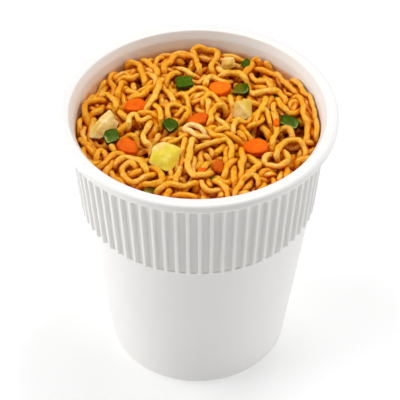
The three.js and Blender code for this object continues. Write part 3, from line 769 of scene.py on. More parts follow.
def settle_strands(seed, length, steps, rest_steps, ds=1.0, rad=STRAND_R, tilt=75, fall=0.06):
    """Pack curly strands into the cup: chains of points that keep their length and curl,
    rest on each other, on the core and against the wall, and leave the chips free.
    The top strands are held near their places, and the rest fill the heap under them."""
    rng = np.random.default_rng(seed)
    lumps = Noise(seed + 40)
    R = float(inside_radius(HEAP_WALL_Z))
    strands, hold, total = [], [], 0.0
    for lift, places in TOP_STRANDS:
        p, h = laid_strand(lift, places, ds, rng)
        strands.append(p)
        hold.append(h)
    top = len(strands)
    while total < length:
        L = rng.uniform(45, 110)
        p = wavy_strand(rng, int(L / ds), ds, tilt)
        r, a = (R - 2) * math.sqrt(rng.uniform(0, 1)), rng.uniform(0, 2 * np.pi)
        p = p + np.array([r * math.cos(a), r * math.sin(a), 0.0])
        rr = np.hypot(p[:, 0], p[:, 1])
        p[:, 2] += heap_dome(np.minimum(rr, R)) - SHELL + rng.uniform(0, 1.25 * SHELL)
        strands.append(p)
        hold.append(np.zeros(len(p)))
        total += L
    deep_rng = np.random.default_rng(seed + 7)
    for lift, places in DEEP_STRANDS:
        p, h = laid_strand(lift, places, ds, deep_rng)
        strands.append(p)
        hold.append(h)
    ns = len(strands)
    X, hold = np.concatenate(strands), np.concatenate(hold)
    cnt = np.array([len(s) for s in strands])
    sid = np.repeat(np.arange(ns), cnt)
    kk = np.concatenate([np.arange(c) for c in cnt])
    N = len(X)
    idx = np.arange(N)
    held = np.nonzero(hold > 0)[0]
    place, hold = X[held].copy(), hold[held][:, None]
    fill = sid >= top
    links = []
    for span, stiff in ((1, 1.0), (2, 0.6), (4, 0.35)):
        i, j = idx[:-span], idx[span:]
        ok = sid[i] == sid[j]
        i, j = i[ok], j[ok]
        l = np.linalg.norm(X[i] - X[j], axis=1)
        if span == 1:
            l[:] = ds
        if span == 4:
            l = np.maximum(l, 2.1 * rad)
        par = (kk[i] // span) % 2
        for g in (0, 1):
            links.append((i[par == g], j[par == g], l[par == g], stiff))
    pi = pj = None
    for step in range(steps + rest_steps):
        X[:, 2] -= fall if step < steps else fall * 0.3
        # the heap is pressed down to its level from above
        press = max(0.0, 1 - step / (0.7 * steps)) * 6.0
        q = X.copy()
        q[:, 2] = 0
        out = np.hypot(X[:, 0], X[:, 1])
        lid = heap_dome(out) + 0.6 + 0.8 * lumps(q, 7.0) + 0.6 * smoothstep(-X[:, 1], 27, 34) + press - rad
        lid = lid + 1.0 * smoothstep(out, 31, 38) + 1.7 * smoothstep(X[:, 1], 22, 36)
        over = fill & (X[:, 2] > lid)
        X[over, 2] += 0.6 * (lid - X[:, 2])[over]
        X[held] += (0.30 if step < steps else 0.12) * hold * (place - X[held])
        if step % 2 == 0:
            pi, pj = near_pairs(X, 2 * rad + 1.0)
            far = (sid[pi] != sid[pj]) | (np.abs(kk[pi] - kk[pj]) > 3)
            pi, pj = pi[far], pj[far]
        for _ in range(2):
            d = X[pj] - X[pi]
            n = np.sqrt((d * d).sum(1))
            m = n < 2 * rad
            a, b = pi[m], pj[m]
            c = d[m] * (0.5 * (2 * rad - n[m]) / np.maximum(n[m], 1e-6))[:, None]
            cc = np.bincount(a, minlength=N) + np.bincount(b, minlength=N)
            w = 1.5 / np.maximum(cc, 1) * np.where(cc > 1, 1.0, 0.66)
            for k in range(3):
                X[:, k] += (np.bincount(b, c[:, k], minlength=N) - np.bincount(a, c[:, k], minlength=N)) * w
            for i, j, l, stiff in links:
                e = X[j] - X[i]
                g = np.sqrt((e * e).sum(1))
                e *= (0.5 * stiff * (g - l) / np.maximum(g, 1e-9))[:, None]
                X[i] += e
                X[j] -= e
            for chip in CHIPS + [leaf_end]:
                if chip.covered:  # a held strand lies across this one
                    Y = X[fill]
                    chip.keep_clear(Y, rad)
                    X[fill] = Y
                else:
                    chip.keep_clear(X, rad)
            r = np.hypot(X[:, 0], X[:, 1])
            lim = inside_radius(np.clip(X[:, 2], 70, 101)) - rad - 0.15
            f = np.where(r > lim, lim / np.maximum(r, 1e-9), 1.0)
            X[:, :2] *= f[:, None]
            X[:, 2] = np.maximum(X[:, 2], heap_dome(np.hypot(X[:, 0], X[:, 1])) - SHELL + rad)
    return [X[sid == s] for s in range(ns)]


def smooth_path(p, fine, coarse, passes=1):
    """A smooth path through the points: short steps near the heap's top, long ones deep in it."""
    q = p.copy()
    for _ in range(passes):
        q[1:-1] = 0.25 * q[:-2] + 0.5 * q[1:-1] + 0.25 * q[2:]
    n = len(q)
    deep = smoothstep(heap_dome(np.hypot(q[:, 0], q[:, 1])) - q[:, 2], 2.5, 5.0)
    gap = np.linalg.norm(np.diff(q, axis=0), axis=1)
    pace = gap / lerp(fine, coarse, 0.5 * (deep[1:] + deep[:-1]))
    d = np.concatenate([[0], np.cumsum(pace)])
    t = np.interp(np.linspace(0, d[-1], max(4, int(d[-1]) + 1)), d, np.arange(n))
    i = np.clip(t.astype(int), 0, n - 2)
    f = (t - i)[:, None]
    g = lambda k: q[np.clip(i + k, 0, n - 1)]
    a, b, c, e = g(-1), g(0), g(1), g(2)
    return 0.5 * (2 * b + (c - a) * f + (2 * a - 5 * b + 4 * c - e) * f ** 2 + (3 * b - a - 3 * c + e) * f ** 3)


def carried_frames(p):
    """Directions across a path that turn with it and don't twist."""
    t = np.gradient(p, axis=0)
    t /= np.linalg.norm(t, axis=1)[:, None]
    u = np.cross(t[0], [0.3, 0.2, 1.0])
    u /= np.linalg.norm(u)
    U = [u]
    for k in range(1, len(p)):
        u = u - t[k] * (u @ t[k])
        u /= np.linalg.norm(u)
        U.append(u)
    U = np.array(U)
    return t, U, np.cross(t, U)


SIDES = 10


def strip_places(lengths, width):
    """Places of strips of these lengths side by side in a square, and the square's size."""
    order = np.argsort(-np.asarray(lengths))
    side = max(max(lengths), math.sqrt(sum(lengths) * width)) * 1.02
    while True:
        at, ends = {}, []
        for k in order:
            for row, end in enumerate(ends):
                if end + lengths[k] <= side:
                    break
            else:
                row = len(ends)
                ends.append(0.0)
            at[k] = (ends[row], row * width)
            ends[row] += lengths[k]
        if len(ends) * width <= side:
            return at, side
        side *= 1.02


def crowding(V, normal, own, run, P, strand, place, h=3.0):
    """How closely other strands crowd in on the open side of each surface point."""
    lo = np.minimum(V.min(0), P.min(0)) - h
    cv, cp = np.floor((V - lo) / h).astype(np.int64) + 1, np.floor((P - lo) / h).astype(np.int64) + 1
    D = np.maximum(cv.max(0), cp.max(0)) + 2
    flat = lambda c: (c[:, 0] * D[1] + c[:, 1]) * D[2] + c[:, 2]
    order = np.argsort(flat(cp), kind="stable")
    ks, kv = flat(cp)[order], flat(cv)
    out = np.zeros(len(V))
    for dx in (-1, 0, 1):
        for dy in (-1, 0, 1):
            for dz in (-1, 0, 1):
                k = kv + (dx * D[1] + dy) * D[2] + dz
                a, b = np.searchsorted(ks, k, "left"), np.searchsorted(ks, k, "right")
                cnt = b - a
                i = np.repeat(np.arange(len(V)), cnt)
                j = order[np.repeat(a, cnt) + np.arange(cnt.sum()) - np.repeat(np.cumsum(cnt) - cnt, cnt)]
                d = P[j] - V[i]
                n = np.sqrt((d * d).sum(1))
                use = (n < h) & ((strand[j] != own[i]) | (np.abs(place[j] - run[i]) > 4.0))
                i, d, n = i[use], d[use], n[use]
                face = (d * normal[i]).sum(1) / np.maximum(n, 0.3)
                out += np.bincount(i, np.clip(face + 0.25, 0, 1.25) * (1 - n / h) ** 0.7, minlength=len(V))
    return out


def tubes(name, paths, radius, seed, fine=0.60, coarse=1.6):
    """One mesh of round-ended, slightly knobbly strands. Each has a tint, each point how
    deep it lies, and each strand a strip of its own on the flat map."""
    rng = np.random.default_rng(seed)
    V, Q, T, tint, deep, pale, facing, whose, where = [], [], [], [], [], [], [], [], []
    uq, ut = [], []
    base = 0
    ang = np.arange(SIDES) * 2 * np.pi / SIDES
    ca, sa = np.cos(ang), np.sin(ang)
    smooth = []
    for q in paths:  # small kinks along each strand
        q = q + 0.42 * np.stack([wander(rng, len(q), 2.7) for _ in range(3)], 1)
        lim = inside_radius(np.clip(q[:, 2], 70, 101)) - 1.12 * radius
        q[:, :2] *= np.minimum(1, lim / np.maximum(np.hypot(q[:, 0], q[:, 1]), 1e-9))[:, None]
        smooth.append(smooth_path(q, fine, coarse))
    runs = [np.concatenate([[0], np.cumsum(np.linalg.norm(np.diff(q, axis=0), axis=1))]) for q in smooth]
    round_mm = 2 * math.pi * radius
    at, side = strip_places([float(r[-1]) + 4.4 for r in runs], round_mm + 0.5)
    for s, (p, run) in enumerate(zip(smooth, runs)):
        n = len(p)
        t, U, W = carried_frames(p)
        knob = np.interp(run, np.arange(0, run[-1] + 2.0, 0.5), wander(rng, int(run[-1] / 0.5) + 5, 2.9)[: len(np.arange(0, run[-1] + 2.0, 0.5))])
        swell = np.interp(run, np.arange(0, run[-1] + 2.0, 1.0), wander(rng, int(run[-1]) + 5, 7.0)[: len(np.arange(0, run[-1] + 2.0, 1.0))])
        r = radius * (1 + 0.18 * knob + 0.06 * swell) * rng.uniform(0.90, 1.05) * (0.85 if s == PALE_STRAND else 1.0)
        flat = 0.08 * swell[::-1]
        rows, runs_at = [], []
        for k, e in ((0, -1), (n - 1, 1)):
            for g in (0.9, 0.6) if e < 0 else (0.6, 0.9):
                c = p[k] + e * t[k] * r[k] * g * 0.8
                rr = r[k] * math.sqrt(1 - g * g)
                rows.append(c + np.outer(ca, U[k]) * rr * (1 + flat[k]) + np.outer(sa, W[k]) * rr * (1 - flat[k]))
                runs_at.append(run[k] + e * g)
        body = p[:, None, :] + ca[None, :, None] * U[:, None, :] * (r * (1 + flat))[:, None, None] + sa[None, :, None] * W[:, None, :] * (r * (1 - flat))[:, None, None]
        rows = np.concatenate([np.array(rows[:2]), body, np.array(rows[2:])])
        runs_at = np.concatenate([runs_at[:2], run, runs_at[2:]])
        m = len(rows)
        V.append(rows.reshape(-1, 3))
        V.append(np.array([p[0] - t[0] * r[0] * 0.82, p[-1] + t[-1] * r[-1] * 0.82]))
        Q.append(grid_quads(m, SIDES, True) + base)
        a, b = base + m * SIDES, base + m * SIDES + 1
        j = np.arange(SIDES)
        T.append(np.stack([np.full(SIDES, a), base + (j + 1) % SIDES, base + j], 1))
        last = base + (m - 1) * SIDES
        T.append(np.stack([np.full(SIDES, b), last + j, last + (j + 1) % SIDES], 1))
        # flat map: along the strand, and round it
        x0, y0 = at[s]
        along = (x0 + 2.2 + runs_at) / side
        rnd = (y0 + 0.25 + round_mm * np.arange(SIDES + 1) / SIDES) / side
        i, jj = np.meshgrid(np.arange(m - 1), j, indexing="ij")
        uq.append(np.stack([np.stack([along[i], rnd[jj]], -1), np.stack([along[i], rnd[jj + 1]], -1), np.stack([along[i + 1], rnd[jj + 1]], -1), np.stack([along[i + 1], rnd[jj]], -1)], 2).reshape(-1, 2))
        for tip, row, flip in ((-1.6, 0, True), (1.6, m - 1, False)):
            peak = np.stack([np.full(SIDES, (x0 + 2.2 + (run[0] if flip else run[-1]) + tip) / side), 0.5 * (rnd[:-1] + rnd[1:])], -1)
            one, two = np.stack([np.full(SIDES, along[row]), rnd[:-1]], -1), np.stack([np.full(SIDES, along[row]), rnd[1:]], -1)
            ut.append(np.stack([peak, two, one] if flip else [peak, one, two], 1).reshape(-1, 2))
        shade = rng.uniform(0, 1)
        drift = np.concatenate([[0, 0], swell, [0, 0]])
        tint.append(np.concatenate([np.repeat(np.clip(shade + 0.25 * drift, 0, 1), SIDES), [shade, shade]]))
        mid = np.concatenate([p[:1], p[:1], p, p[-1:], p[-1:]])
        low = np.clip((heap_dome(np.hypot(mid[:, 0], mid[:, 1])) + 0.4 - mid[:, 2]) / 6.0, 0, 1)
        deep.append(np.concatenate([np.repeat(low, SIDES), [low[0], low[-1]]]))
        bare = (1 - smoothstep(runs_at / run[-1], 0.58, 0.74)) * (s == PALE_STRAND)
        pale.append(np.concatenate([np.repeat(bare, SIDES), bare[:1], bare[-1:]]))
        way = rows - mid[:, None, :]
        way = way / (np.linalg.norm(way, axis=2)[:, :, None] + 1e-9)
        facing.append(np.concatenate([way.reshape(-1, 3), -t[:1], t[-1:]]))
        whose.append(np.full(m * SIDES + 2, s))
        where.append(np.concatenate([np.repeat(np.clip(runs_at, 0, run[-1]), SIDES), [0, run[-1]]]))
        base += m * SIDES + 2
    ob = mesh_object(name, np.concatenate(V), [np.concatenate(Q), np.concatenate(T)])
    point_attribute(ob, "tint", np.concatenate(tint))
    point_attribute(ob, "deep", np.concatenate(deep))
    point_attribute(ob, "pale", np.concatenate(pale))
    facing = np.concatenate(facing)
    P = np.concatenate(smooth)
    # crowding, facing and nearness to the wall are masks for the painted shade in the noodle colour
    close = crowding(np.concatenate(V), facing, np.concatenate(whose), np.concatenate(where), P, np.repeat(np.arange(len(smooth)), [len(q) for q in smooth]), np.concatenate(runs))
    point_attribute(ob, "close", close)
    point_attribute(ob, "up", facing[:, 2])
    at_wall = np.concatenate(V)
    point_attribute(ob, "wall", smoothstep(np.hypot(at_wall[:, 0], at_wall[:, 1]), 25.0, 40.0))
    uv = ob.data.uv_layers.new(name="OFBake", do_init=False)
    uv.data.foreach_set("uv", np.concatenate([np.concatenate(uq), np.concatenate(ut)]).astype(np.float32).ravel())
    return ob


paths = settle_strands(seed=3, length=4300.0, steps=200, rest_steps=60)
strands = tubes("noodle_strands", paths, STRAND_R, seed=5)

nm = Mat("noodle", roughness=0.22, specular=0.58, subsurface=0.30, radius=(1.0, 0.32, 0.04), scale=0.0014)
patch = nm.span(nm.noise(230.0, 3.0), 0.3, 0.7, 0.0, 1.0)
fac = nm.math("ADD", nm.math("MULTIPLY", nm.attribute("tint"), 0.40), nm.math("MULTIPLY", patch, 0.38))
fac = nm.math("ADD", fac, nm.span(nm.noise(700.0, 2.0), 0.32, 0.68, 0.0, 0.22))
col = nm.ramp(fac, [(0.12, (0.98, 0.62, 0.14, 1)), (0.5, (0.95, 0.475, 0.020, 1)), (0.88, (0.88, 0.34, 0.003, 1))])
# painted shade: a darker red-brown where other strands crowd in, on the strands' undersides, along the wall and deep in
# the heap, with random specks of sauce
shade_and_sauce = nm.math("ADD", nm.span(nm.attribute("close"), 0.6, 3.0, 0.0, 0.75), nm.span(nm.attribute("up"), 0.45, -0.6, 0.0, 0.45))
shade_and_sauce = nm.math("ADD", shade_and_sauce, nm.span(nm.noise(420.0, 3.0), 0.54, 0.70, 0.0, 0.35))
shade_and_sauce = nm.math("ADD", shade_and_sauce, nm.math("MULTIPLY", nm.attribute("wall"), 0.24))
shade_and_sauce = nm.math("ADD", shade_and_sauce, nm.span(nm.attribute("deep"), 0.22, 0.95, 0.0, 0.6), clamp=True)
col = nm.mix(shade_and_sauce, col, (0.75, 0.185, 0.0004, 1))
col = nm.mix(nm.math("MULTIPLY", nm.attribute("pale"), 0.85), col, (1.0, 0.70, 0.28, 1))
nm.link(col, "Base Color")
nm.set("Specular Tint", (1.0, 0.86, 0.44, 1.0))
nm.link(nm.span(nm.noise(500.0, 2.0), 0.3, 0.7, 0.11, 0.27), "Roughness")
nm.bump(nm.math("ADD", nm.noise(640.0, 2.0), nm.math("MULTIPLY", nm.noise(1500.0, 2.0), 0.18)), 0.9, 0.0008)
strands.data.materials.append(nm.m)
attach(strands, "root")
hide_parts("noodles")


# ------------------------------------------------------------------ core under the strands
def build_core():
    noise = Noise(8)
    rows, cols = 44, 144
    R = float(inside_radius(HEAP_WALL_Z)) - 0.35
    pts = []
    prof = [(0.01, FLOOR_Z + 0.4), (20.0, FLOOR_Z + 0.4), (float(body_radius(FLOOR_Z) - BODY_WALL) - 3.2, FLOOR_Z + 0.4), (float(body_radius(FLOOR_Z + 3.2) - BODY_WALL) - 0.4, FLOOR_Z + 3.2)]
    for z in (20.0, 40.0, BAND_BOTTOM - 1.0):
        prof.append((float(body_radius(z) - BODY_WALL) - 0.4, z))
    for z in (BAND_BOTTOM + 1.0, 76.0, HEAP_WALL_Z - SHELL - 0.6):
        prof.append((float(inside_radius(z)) - 0.4, z))
    top = len(prof)
    for r in np.linspace(float(inside_radius(HEAP_WALL_Z - SHELL)) - 0.5, 0.01, rows):
        prof.append((r, float(heap_dome(min(r, R))) - SHELL))
    ang = np.arange(cols) * 2 * np.pi / cols
    for r, z in prof:
        pts.append(np.stack([r * np.cos(ang), r * np.sin(ang), np.full(cols, z)], 1))
    pts = np.concatenate(pts)
    up = np.arange(len(pts)) >= top * cols
    q = pts.copy()
    q[:, 2] = 0
    ridges = 1 - np.abs(noise(q, 4.2)) * 2.2
    pts[up, 2] += (0.9 * np.clip(ridges, -0.6, 1) + 0.5 * noise(q, 9.0))[up]
    return mesh_object("noodle_core", *close_ends(pts.reshape(len(prof), cols, 3)))


core = build_core()
km = Mat("noodle_core", roughness=0.5, specular=0.05, subsurface=0.15, radius=(1.0, 0.4, 0.1), scale=0.0015)
# painted shade: the core is coloured dark brown for the shade deep under the loose strands
km.link(km.ramp(km.noise(260.0, 3.0), [(0.3, (0.24, 0.050, 0.0005, 1)), (0.7, (0.46, 0.125, 0.002, 1))]), "Base Color")
km.bump(km.noise(600.0, 3.0), 0.6, 0.0006)
core.data.materials.append(km.m)
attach(core, "root")
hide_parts("noodles")

# ------------------------------------------------------------------ vegetables, finished
relief = Noise(21)


def chip_mesh(chip, cols, rows, rough, fine):
    """Points, faces, and how near the rim and how high each point is, of one diced piece."""
    p, a, z, out = chip.surface(cols, rows)
    verts = np.concatenate([p[1:-1].reshape(-1, 3), p[0, :1], p[-1, :1]])
    n = relief(verts + chip.index * 7.3, 2.2)[:, None] * rough + relief(verts * 1.7 + chip.index * 3.1, 0.9)[:, None] * fine
    d = verts / (np.linalg.norm(verts, axis=1)[:, None] + 1e-9)
    verts = verts + d * n
    m = rows - 2
    quads = grid_quads(m, cols, True)[:, ::-1]
    j = np.arange(cols)
    cap0 = np.stack([np.full(cols, m * cols), j, (j + 1) % cols], 1)
    last = (m - 1) * cols
    cap1 = np.stack([np.full(cols, m * cols + 1), last + (j + 1) % cols, last + j], 1)
    edge = np.concatenate([(out + 0 * z)[1:-1].ravel(), [0.0, 0.0]])
    high = np.concatenate([z[1:-1].ravel(), [1.0, -1.0]])
    return verts @ chip.R.T + chip.c, quads, np.concatenate([cap0, cap1]), edge, high


OLIVE = {"scallion_7": 1.0, "scallion_2": 0.4}  # pieces that have gone yellow on their left side
# pieces that are lighter or darker than the rest, and how strong the painted highlight on the front edge of each green
# one is
TONE = {"carrot_2": 0.4, "carrot_3": -0.45, "carrot_4": -0.3, "carrot_6": -1.0, "scallion_1": 0.45, "scallion_3": -0.4}
FRONT_HIGHLIGHT = {"scallion_1": 0.1, "scallion_2": 0.5, "scallion_3": 0.6, "scallion_4": 1.0, "scallion_5": 1.0, "scallion_7": 0.3}


def build_chips(name, chips, cols, rows, rough, fine):
    """One mesh of one or more diced pieces."""
    V, Q, T, E, H, O, tone, front_highlight = [], [], [], [], [], [], [], []
    base = 0
    for chip in chips:
        v, q, t, e, h = chip_mesh(chip, cols, rows, rough, fine)
        tone.append(np.full(len(v), TONE.get(chip.name, 0.0)))
        front = smoothstep(-(v[:, 1] - chip.c[1]), 0.0, 0.3 * chip.size[1])
        # painted highlight along the upper front edge
        front_highlight.append(FRONT_HIGHLIGHT.get(chip.name, 0.3) * front * np.exp(-((h - 0.70) / 0.2) ** 2))
        O.append(OLIVE.get(chip.name, 0.0) * smoothstep(-(v[:, 0] - chip.c[0]), -2.2, 1.2))
        V.append(v); Q.append(q + base); T.append(t + base); E.append(e); H.append(h)
        base += len(v)
    ob = mesh_object(name, np.concatenate(V), [np.concatenate(Q), np.concatenate(T)])
    point_attribute(ob, "edge", np.concatenate(E))
    point_attribute(ob, "high", np.concatenate(H))
    point_attribute(ob, "olive", np.concatenate(O))
    point_attribute(ob, "line", np.concatenate(front_highlight))
    point_attribute(ob, "light", np.maximum(np.concatenate(tone), 0))
    point_attribute(ob, "dark", np.maximum(-np.concatenate(tone), 0))
    return ob


# torn leaves: outline in each leaf's own axes; direction and span over which it turns
# cream; the same for amber, where sauce has soaked in; a fold from one place to another;
# the vein's direction; how strong the painted highlight along the torn edge is
LEAVES = {
    "cabbage_1": dict(outline=[(-3.1, 5.0), (-1.3, 6.0), (0.8, 6.2), (2.9, 4.7), (5.0, 3.4), (6.3, 2.3), (5.4, 0.2), (3.9, -2.5), (2.2, -4.6), (1.0, -5.7), (-1.2, -5.6), (-3.1, -3.9), (-5.4, -1.5), (-5.5, -0.3), (-4.2, 2.3)],
                      cream=((-0.35, 0.94), 1.8, 5.4), amber=((-0.8, -0.6), 3.0, 8.0), fold=None, vein=(0.62, 0.78), pale=0.25),
    "cabbage_2": dict(outline=[(3.8, 3.7), (4.2, 1.6), (3.7, -0.2), (4.7, -1.7), (3.5, -2.9), (1.2, -4.0), (-1.9, -4.0), (-5.0, -4.5), (-8.0, -2.9), (-7.7, -1.3), (-5.0, 0.7), (-1.9, 1.9), (1.0, 3.0)],
                      cream=((1.0, 0.0), -8.0, -2.0), amber=((-1.0, -0.1), -1.0, 5.0), fold=None, vein=(0.9, 0.43)),
    "cabbage_3": dict(outline=[(-3.2, 3.2), (-1.2, 3.9), (1.5, 4.7), (2.6, 3.7), (2.8, 1.0), (3.3, -1.5), (2.4, -3.1), (0.4, -3.7), (-1.9, -4.0), (-3.2, -2.3), (-3.4, 0.8)],
                      cream=((-0.7, -0.7), -3.2, 0.6), amber=((0.7, 0.7), -0.6, 2.4), fold=((-2.6, 2.6), (2.6, -2.8)), vein=(0.2, 0.98)),
    "cabbage_4": dict(outline=[(-2.0, 1.9), (-0.9, 2.8), (0.6, 2.3), (2.3, 2.2), (2.5, 0.3), (2.0, -1.7), (0.3, -2.0), (-1.5, -2.4), (-2.9, -0.9), (-2.4, 0.6)],
                      cream=((0.2, 1.0), -2.2, 1.6), amber=((-0.1, -1.0), -3.0, 0.8), fold=None, vein=(0.3, 0.95)),
}


def build_leaf(chip, leaf, cols=120, rings=16):
    q = np.array(leaf["outline"], float)
    for _ in range(2):  # round the corners off
        q = np.stack([0.8 * q + 0.2 * np.roll(q, -1, 0), 0.2 * q + 0.8 * np.roll(q, -1, 0)], 1).reshape(-1, 2)
    q = np.concatenate([q, q[:1]])
    d = np.concatenate([[0], np.cumsum(np.linalg.norm(np.diff(q, axis=0), axis=1))])
    s = np.linspace(0, d[-1], cols, endpoint=False)
    rim = np.stack([np.interp(s, d, q[:, 0]), np.interp(s, d, q[:, 1])], 1)
    if np.sum(rim[:, 0] * np.roll(rim[:, 1], -1) - rim[:, 1] * np.roll(rim[:, 0], -1)) < 0:
        rim = rim[::-1]
    at_rim = np.concatenate([rim, np.full((cols, 1), chip.index * 2.0)], 1)
    rim = rim * (1 + 0.035 * relief(at_rim, 1.5) + 0.03 * relief(at_rim + 5, 0.6))[:, None]  # torn, not cut
    thick = chip.size[2] * 0.8
    rho = np.concatenate([np.linspace(0.04, 0.9, rings), [0.95, 0.98, 0.995]])
    rho = np.concatenate([rho, [1.0], rho[::-1]])
    face = np.concatenate([np.ones(rings + 3), [0.0], -np.ones(rings + 3)])
    xy = rho[:, None, None] * rim[None]
    taper = 0.6 * smoothstep(rho, 0.35, 1.0)  # thins out to the torn edge, from above
    half = thick / 2 * (1 - taper) * np.sqrt(np.clip(1 - rho ** 8, 0, 1))
    flat = np.concatenate([xy.reshape(-1, 2), np.zeros((2, 2))])
    half = np.concatenate([np.repeat(half * face - taper * thick / 2, cols), [thick / 2, -thick / 2]])
    top = np.concatenate([np.repeat(face > 0, cols), [True, False]])
    at = np.concatenate([flat, np.full((len(flat), 1), chip.index * 5.0)], 1)
    wave = 0.45 * relief(at, 4.0) + 0.16 * relief(at + 9, 1.6)
    along = flat @ np.array(leaf["vein"])
    across = flat @ np.array([-leaf["vein"][1], leaf["vein"][0]])
    ribs = np.exp(-(across / 0.9) ** 2) * 0.12 + 0.015 * np.cos(across * 2.6 + 0.4 * along)
    bend = 0.010 * along ** 2 - 0.018 * across ** 2
    z = half + wave + bend + np.where(top, ribs, 0.4 * ribs)
    if leaf["fold"]:
        a, b = np.array(leaf["fold"][0]), np.array(leaf["fold"][1])
        n = np.array([-(b - a)[1], (b - a)[0]]) / np.linalg.norm(b - a)
        off = (flat - a) @ n
        z = z + 0.9 * np.exp(-(off / 0.8) ** 2) - 0.25 * np.clip(np.abs(off) - 1.0, 0, 3)
    verts = np.concatenate([flat, z[:, None]], 1)
    m = len(rho)
    quads = grid_quads(m, cols, True)[:, ::-1]
    j = np.arange(cols)
    last = (m - 1) * cols
    caps = np.concatenate([np.stack([np.full(cols, m * cols), j, (j + 1) % cols], 1), np.stack([np.full(cols, m * cols + 1), last + (j + 1) % cols, last + j], 1)])
    ob = mesh_object(chip.name + "_piece", verts @ chip.R.T + chip.c, [quads, caps])
    for key in ("cream", "amber"):
        way, lo, hi = leaf[key]
        point_attribute(ob, key, smoothstep(flat @ np.array(way) + 0.8 * relief(at + 3, 2.0), lo, hi))
    point_attribute(ob, "rib", np.clip(ribs * 4, 0, 1))
    # painted highlight along the torn edge of the leaf
    pale = leaf.get("pale", 1.0) * smoothstep(rho, 0.74, 0.95)
    point_attribute(ob, "torn", np.concatenate([np.repeat(pale, cols), [0.0, 0.0]]))
    return ob


carrot_m = Mat("carrot", roughness=0.34, specular=0.22)
carrot_m.set("Specular Tint", (1.0, 0.55, 0.14, 1.0))
flesh = carrot_m.ramp(carrot_m.noise(260.0, 3.0), [(0.3, (0.80, 0.088, 0.0003, 1)), (0.7, (0.97, 0.168, 0.0010, 1))])
flesh = carrot_m.mix(carrot_m.math("MULTIPLY", carrot_m.attribute("light"), 0.6), flesh, (1.0, 0.27, 0.012, 1))
flesh = carrot_m.mix(carrot_m.math("MULTIPLY", carrot_m.attribute("dark"), 0.8), flesh, (0.55, 0.085, 0.003, 1))
# painted shade: the sides and underside of each carrot piece are coloured darker and redder than its top
carrot_m.link(carrot_m.mix(carrot_m.span(carrot_m.attribute("high"), 0.55, 0.92, 0.25, 0.0), flesh, (0.86, 0.105, 0.0005, 1)), "Base Color")
carrot_m.link(carrot_m.span(carrot_m.noise(600.0, 2.0), 0.3, 0.7, 0.30, 0.48), "Roughness")
carrot_m.bump(carrot_m.noise(620.0, 3.0), 0.7, 0.0007)

green_m = Mat("scallion", roughness=0.26, specular=0.16)
green_m.set("Specular Tint", (0.6, 1.0, 0.12, 1.0))
skin = green_m.ramp(green_m.noise(350.0, 3.0), [(0.3, (0.010, 0.033, 0.0, 1)), (0.7, (0.056, 0.090, 0.0002, 1))])
skin = green_m.mix(green_m.math("MULTIPLY", green_m.attribute("light"), 0.85), skin, (0.066, 0.158, 0.0005, 1))
skin = green_m.mix(green_m.math("MULTIPLY", green_m.attribute("dark"), 0.7), skin, (0.010, 0.040, 0.0, 1))
# painted highlight: a pale green line along the upper front edge of each green piece
rim_highlight = green_m.math("MULTIPLY", green_m.attribute("line"), green_m.span(green_m.noise(240.0, 2.0), 0.42, 0.56, 0.15, 1.0))
skin = green_m.mix(green_m.math("MULTIPLY", green_m.attribute("olive"), 0.85), skin, (0.36, 0.24, 0.005, 1))
green_m.link(green_m.mix(rim_highlight, skin, (0.50, 0.60, 0.16, 1)), "Base Color")
green_m.link(green_m.span(green_m.noise(420.0, 2.0), 0.3, 0.7, 0.22, 0.40), "Roughness")
green_m.bump(green_m.noise(600.0, 2.0), 0.7, 0.0006)

leaf_m = Mat("cabbage", roughness=0.36, specular=0.25, subsurface=0.15, radius=(1.0, 0.8, 0.3), scale=0.0012)
leaf = leaf_m.ramp(leaf_m.noise(170.0, 3.0, distortion=0.6), [(0.3, (0.68, 0.52, 0.014, 1)), (0.5, (0.82, 0.64, 0.035, 1)), (0.7, (0.92, 0.74, 0.10, 1))])
leaf = leaf_m.mix(leaf_m.math("MULTIPLY", leaf_m.attribute("rib"), 0.18), leaf, (0.88, 0.76, 0.26, 1))
leaf = leaf_m.mix(leaf_m.math("MULTIPLY", leaf_m.attribute("cream"), 0.85), leaf, (0.88, 0.60, 0.21, 1))
leaf = leaf_m.mix(leaf_m.math("MULTIPLY", leaf_m.attribute("amber"), 0.72), leaf, (0.70, 0.385, 0.055, 1))
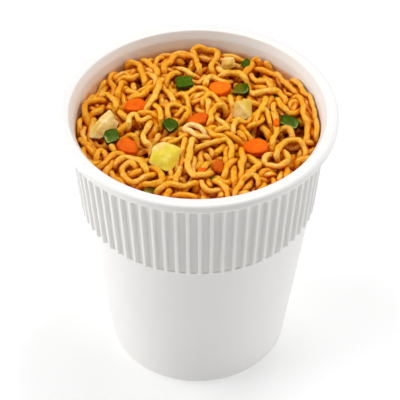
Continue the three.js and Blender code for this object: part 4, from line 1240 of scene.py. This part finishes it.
# thin places where the noodles show through, pale streaks, and a painted highlight along the torn edges
thin_leaf = leaf_m.math("MULTIPLY", leaf_m.attribute("cream"), leaf_m.span(leaf_m.noise(300.0, 2.0), 0.50, 0.64, 0.0, 0.40))
leaf = leaf_m.mix(thin_leaf, leaf, (0.62, 0.37, 0.045, 1))
streak = leaf_m.math("MULTIPLY", leaf_m.attribute("cream"), leaf_m.span(leaf_m.noise(460.0, 2.0, distortion=0.8), 0.54, 0.66, 0.0, 0.65))
leaf = leaf_m.mix(streak, leaf, (0.97, 0.78, 0.44, 1))
torn = leaf_m.math("MULTIPLY", leaf_m.attribute("torn"), leaf_m.span(leaf_m.noise(350.0, 2.0), 0.42, 0.60, 0.05, 0.50))
leaf = leaf_m.mix(torn, leaf, (0.96, 0.78, 0.36, 1))
leaf_m.link(leaf, "Base Color")
leaf_m.link(leaf_m.span(leaf_m.noise(420.0, 2.0), 0.3, 0.7, 0.28, 0.46), "Roughness")
leaf_m.bump(leaf_m.noise(520.0, 4.0), 0.5, 0.0005)

for chip in CHIPS:
    kind = chip.name.split("_")[0]
    if kind == "cabbage":
        ob = build_leaf(chip, LEAVES[chip.name])
    else:
        rough, fine = {"carrot": (0.14, 0.05), "scallion": (0.09, 0.03)}[kind]
        ob = build_chips(chip.name + "_piece", [chip], 72, 26, rough, fine)
    ob.data.materials.append({"carrot": carrot_m, "scallion": green_m, "cabbage": leaf_m}[kind].m)
    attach(ob, "root")
    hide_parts(chip.name)

# small scraps of the same vegetables between the strands
ground = np.concatenate(paths)
for name, kind, mat, rows in (
    ("carrot_scraps", "carrot", carrot_m, SCRAPS[:2]),
    ("scallion_scraps", "scallion", green_m, SCRAPS[2:]),
):
    scraps = [Chip(40 + i, row) for i, row in enumerate(rows)]
    for scrap in scraps:
        if scrap.on_top:  # rests on the highest strand there
            near = ground[np.hypot(ground[:, 0] - scrap.c[0], ground[:, 1] - scrap.c[1]) < 1.3]
            scrap.c[2] = near[:, 2].max() + STRAND_R + 0.25 * scrap.size[2]
    ob = build_chips(name, scraps, 40, 16, 0.12, 0.05)
    ob.data.materials.append(mat.m)
    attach(ob, "root")

# ------------------------------------------------------------------ update the scene
bpy.context.view_layer.update()
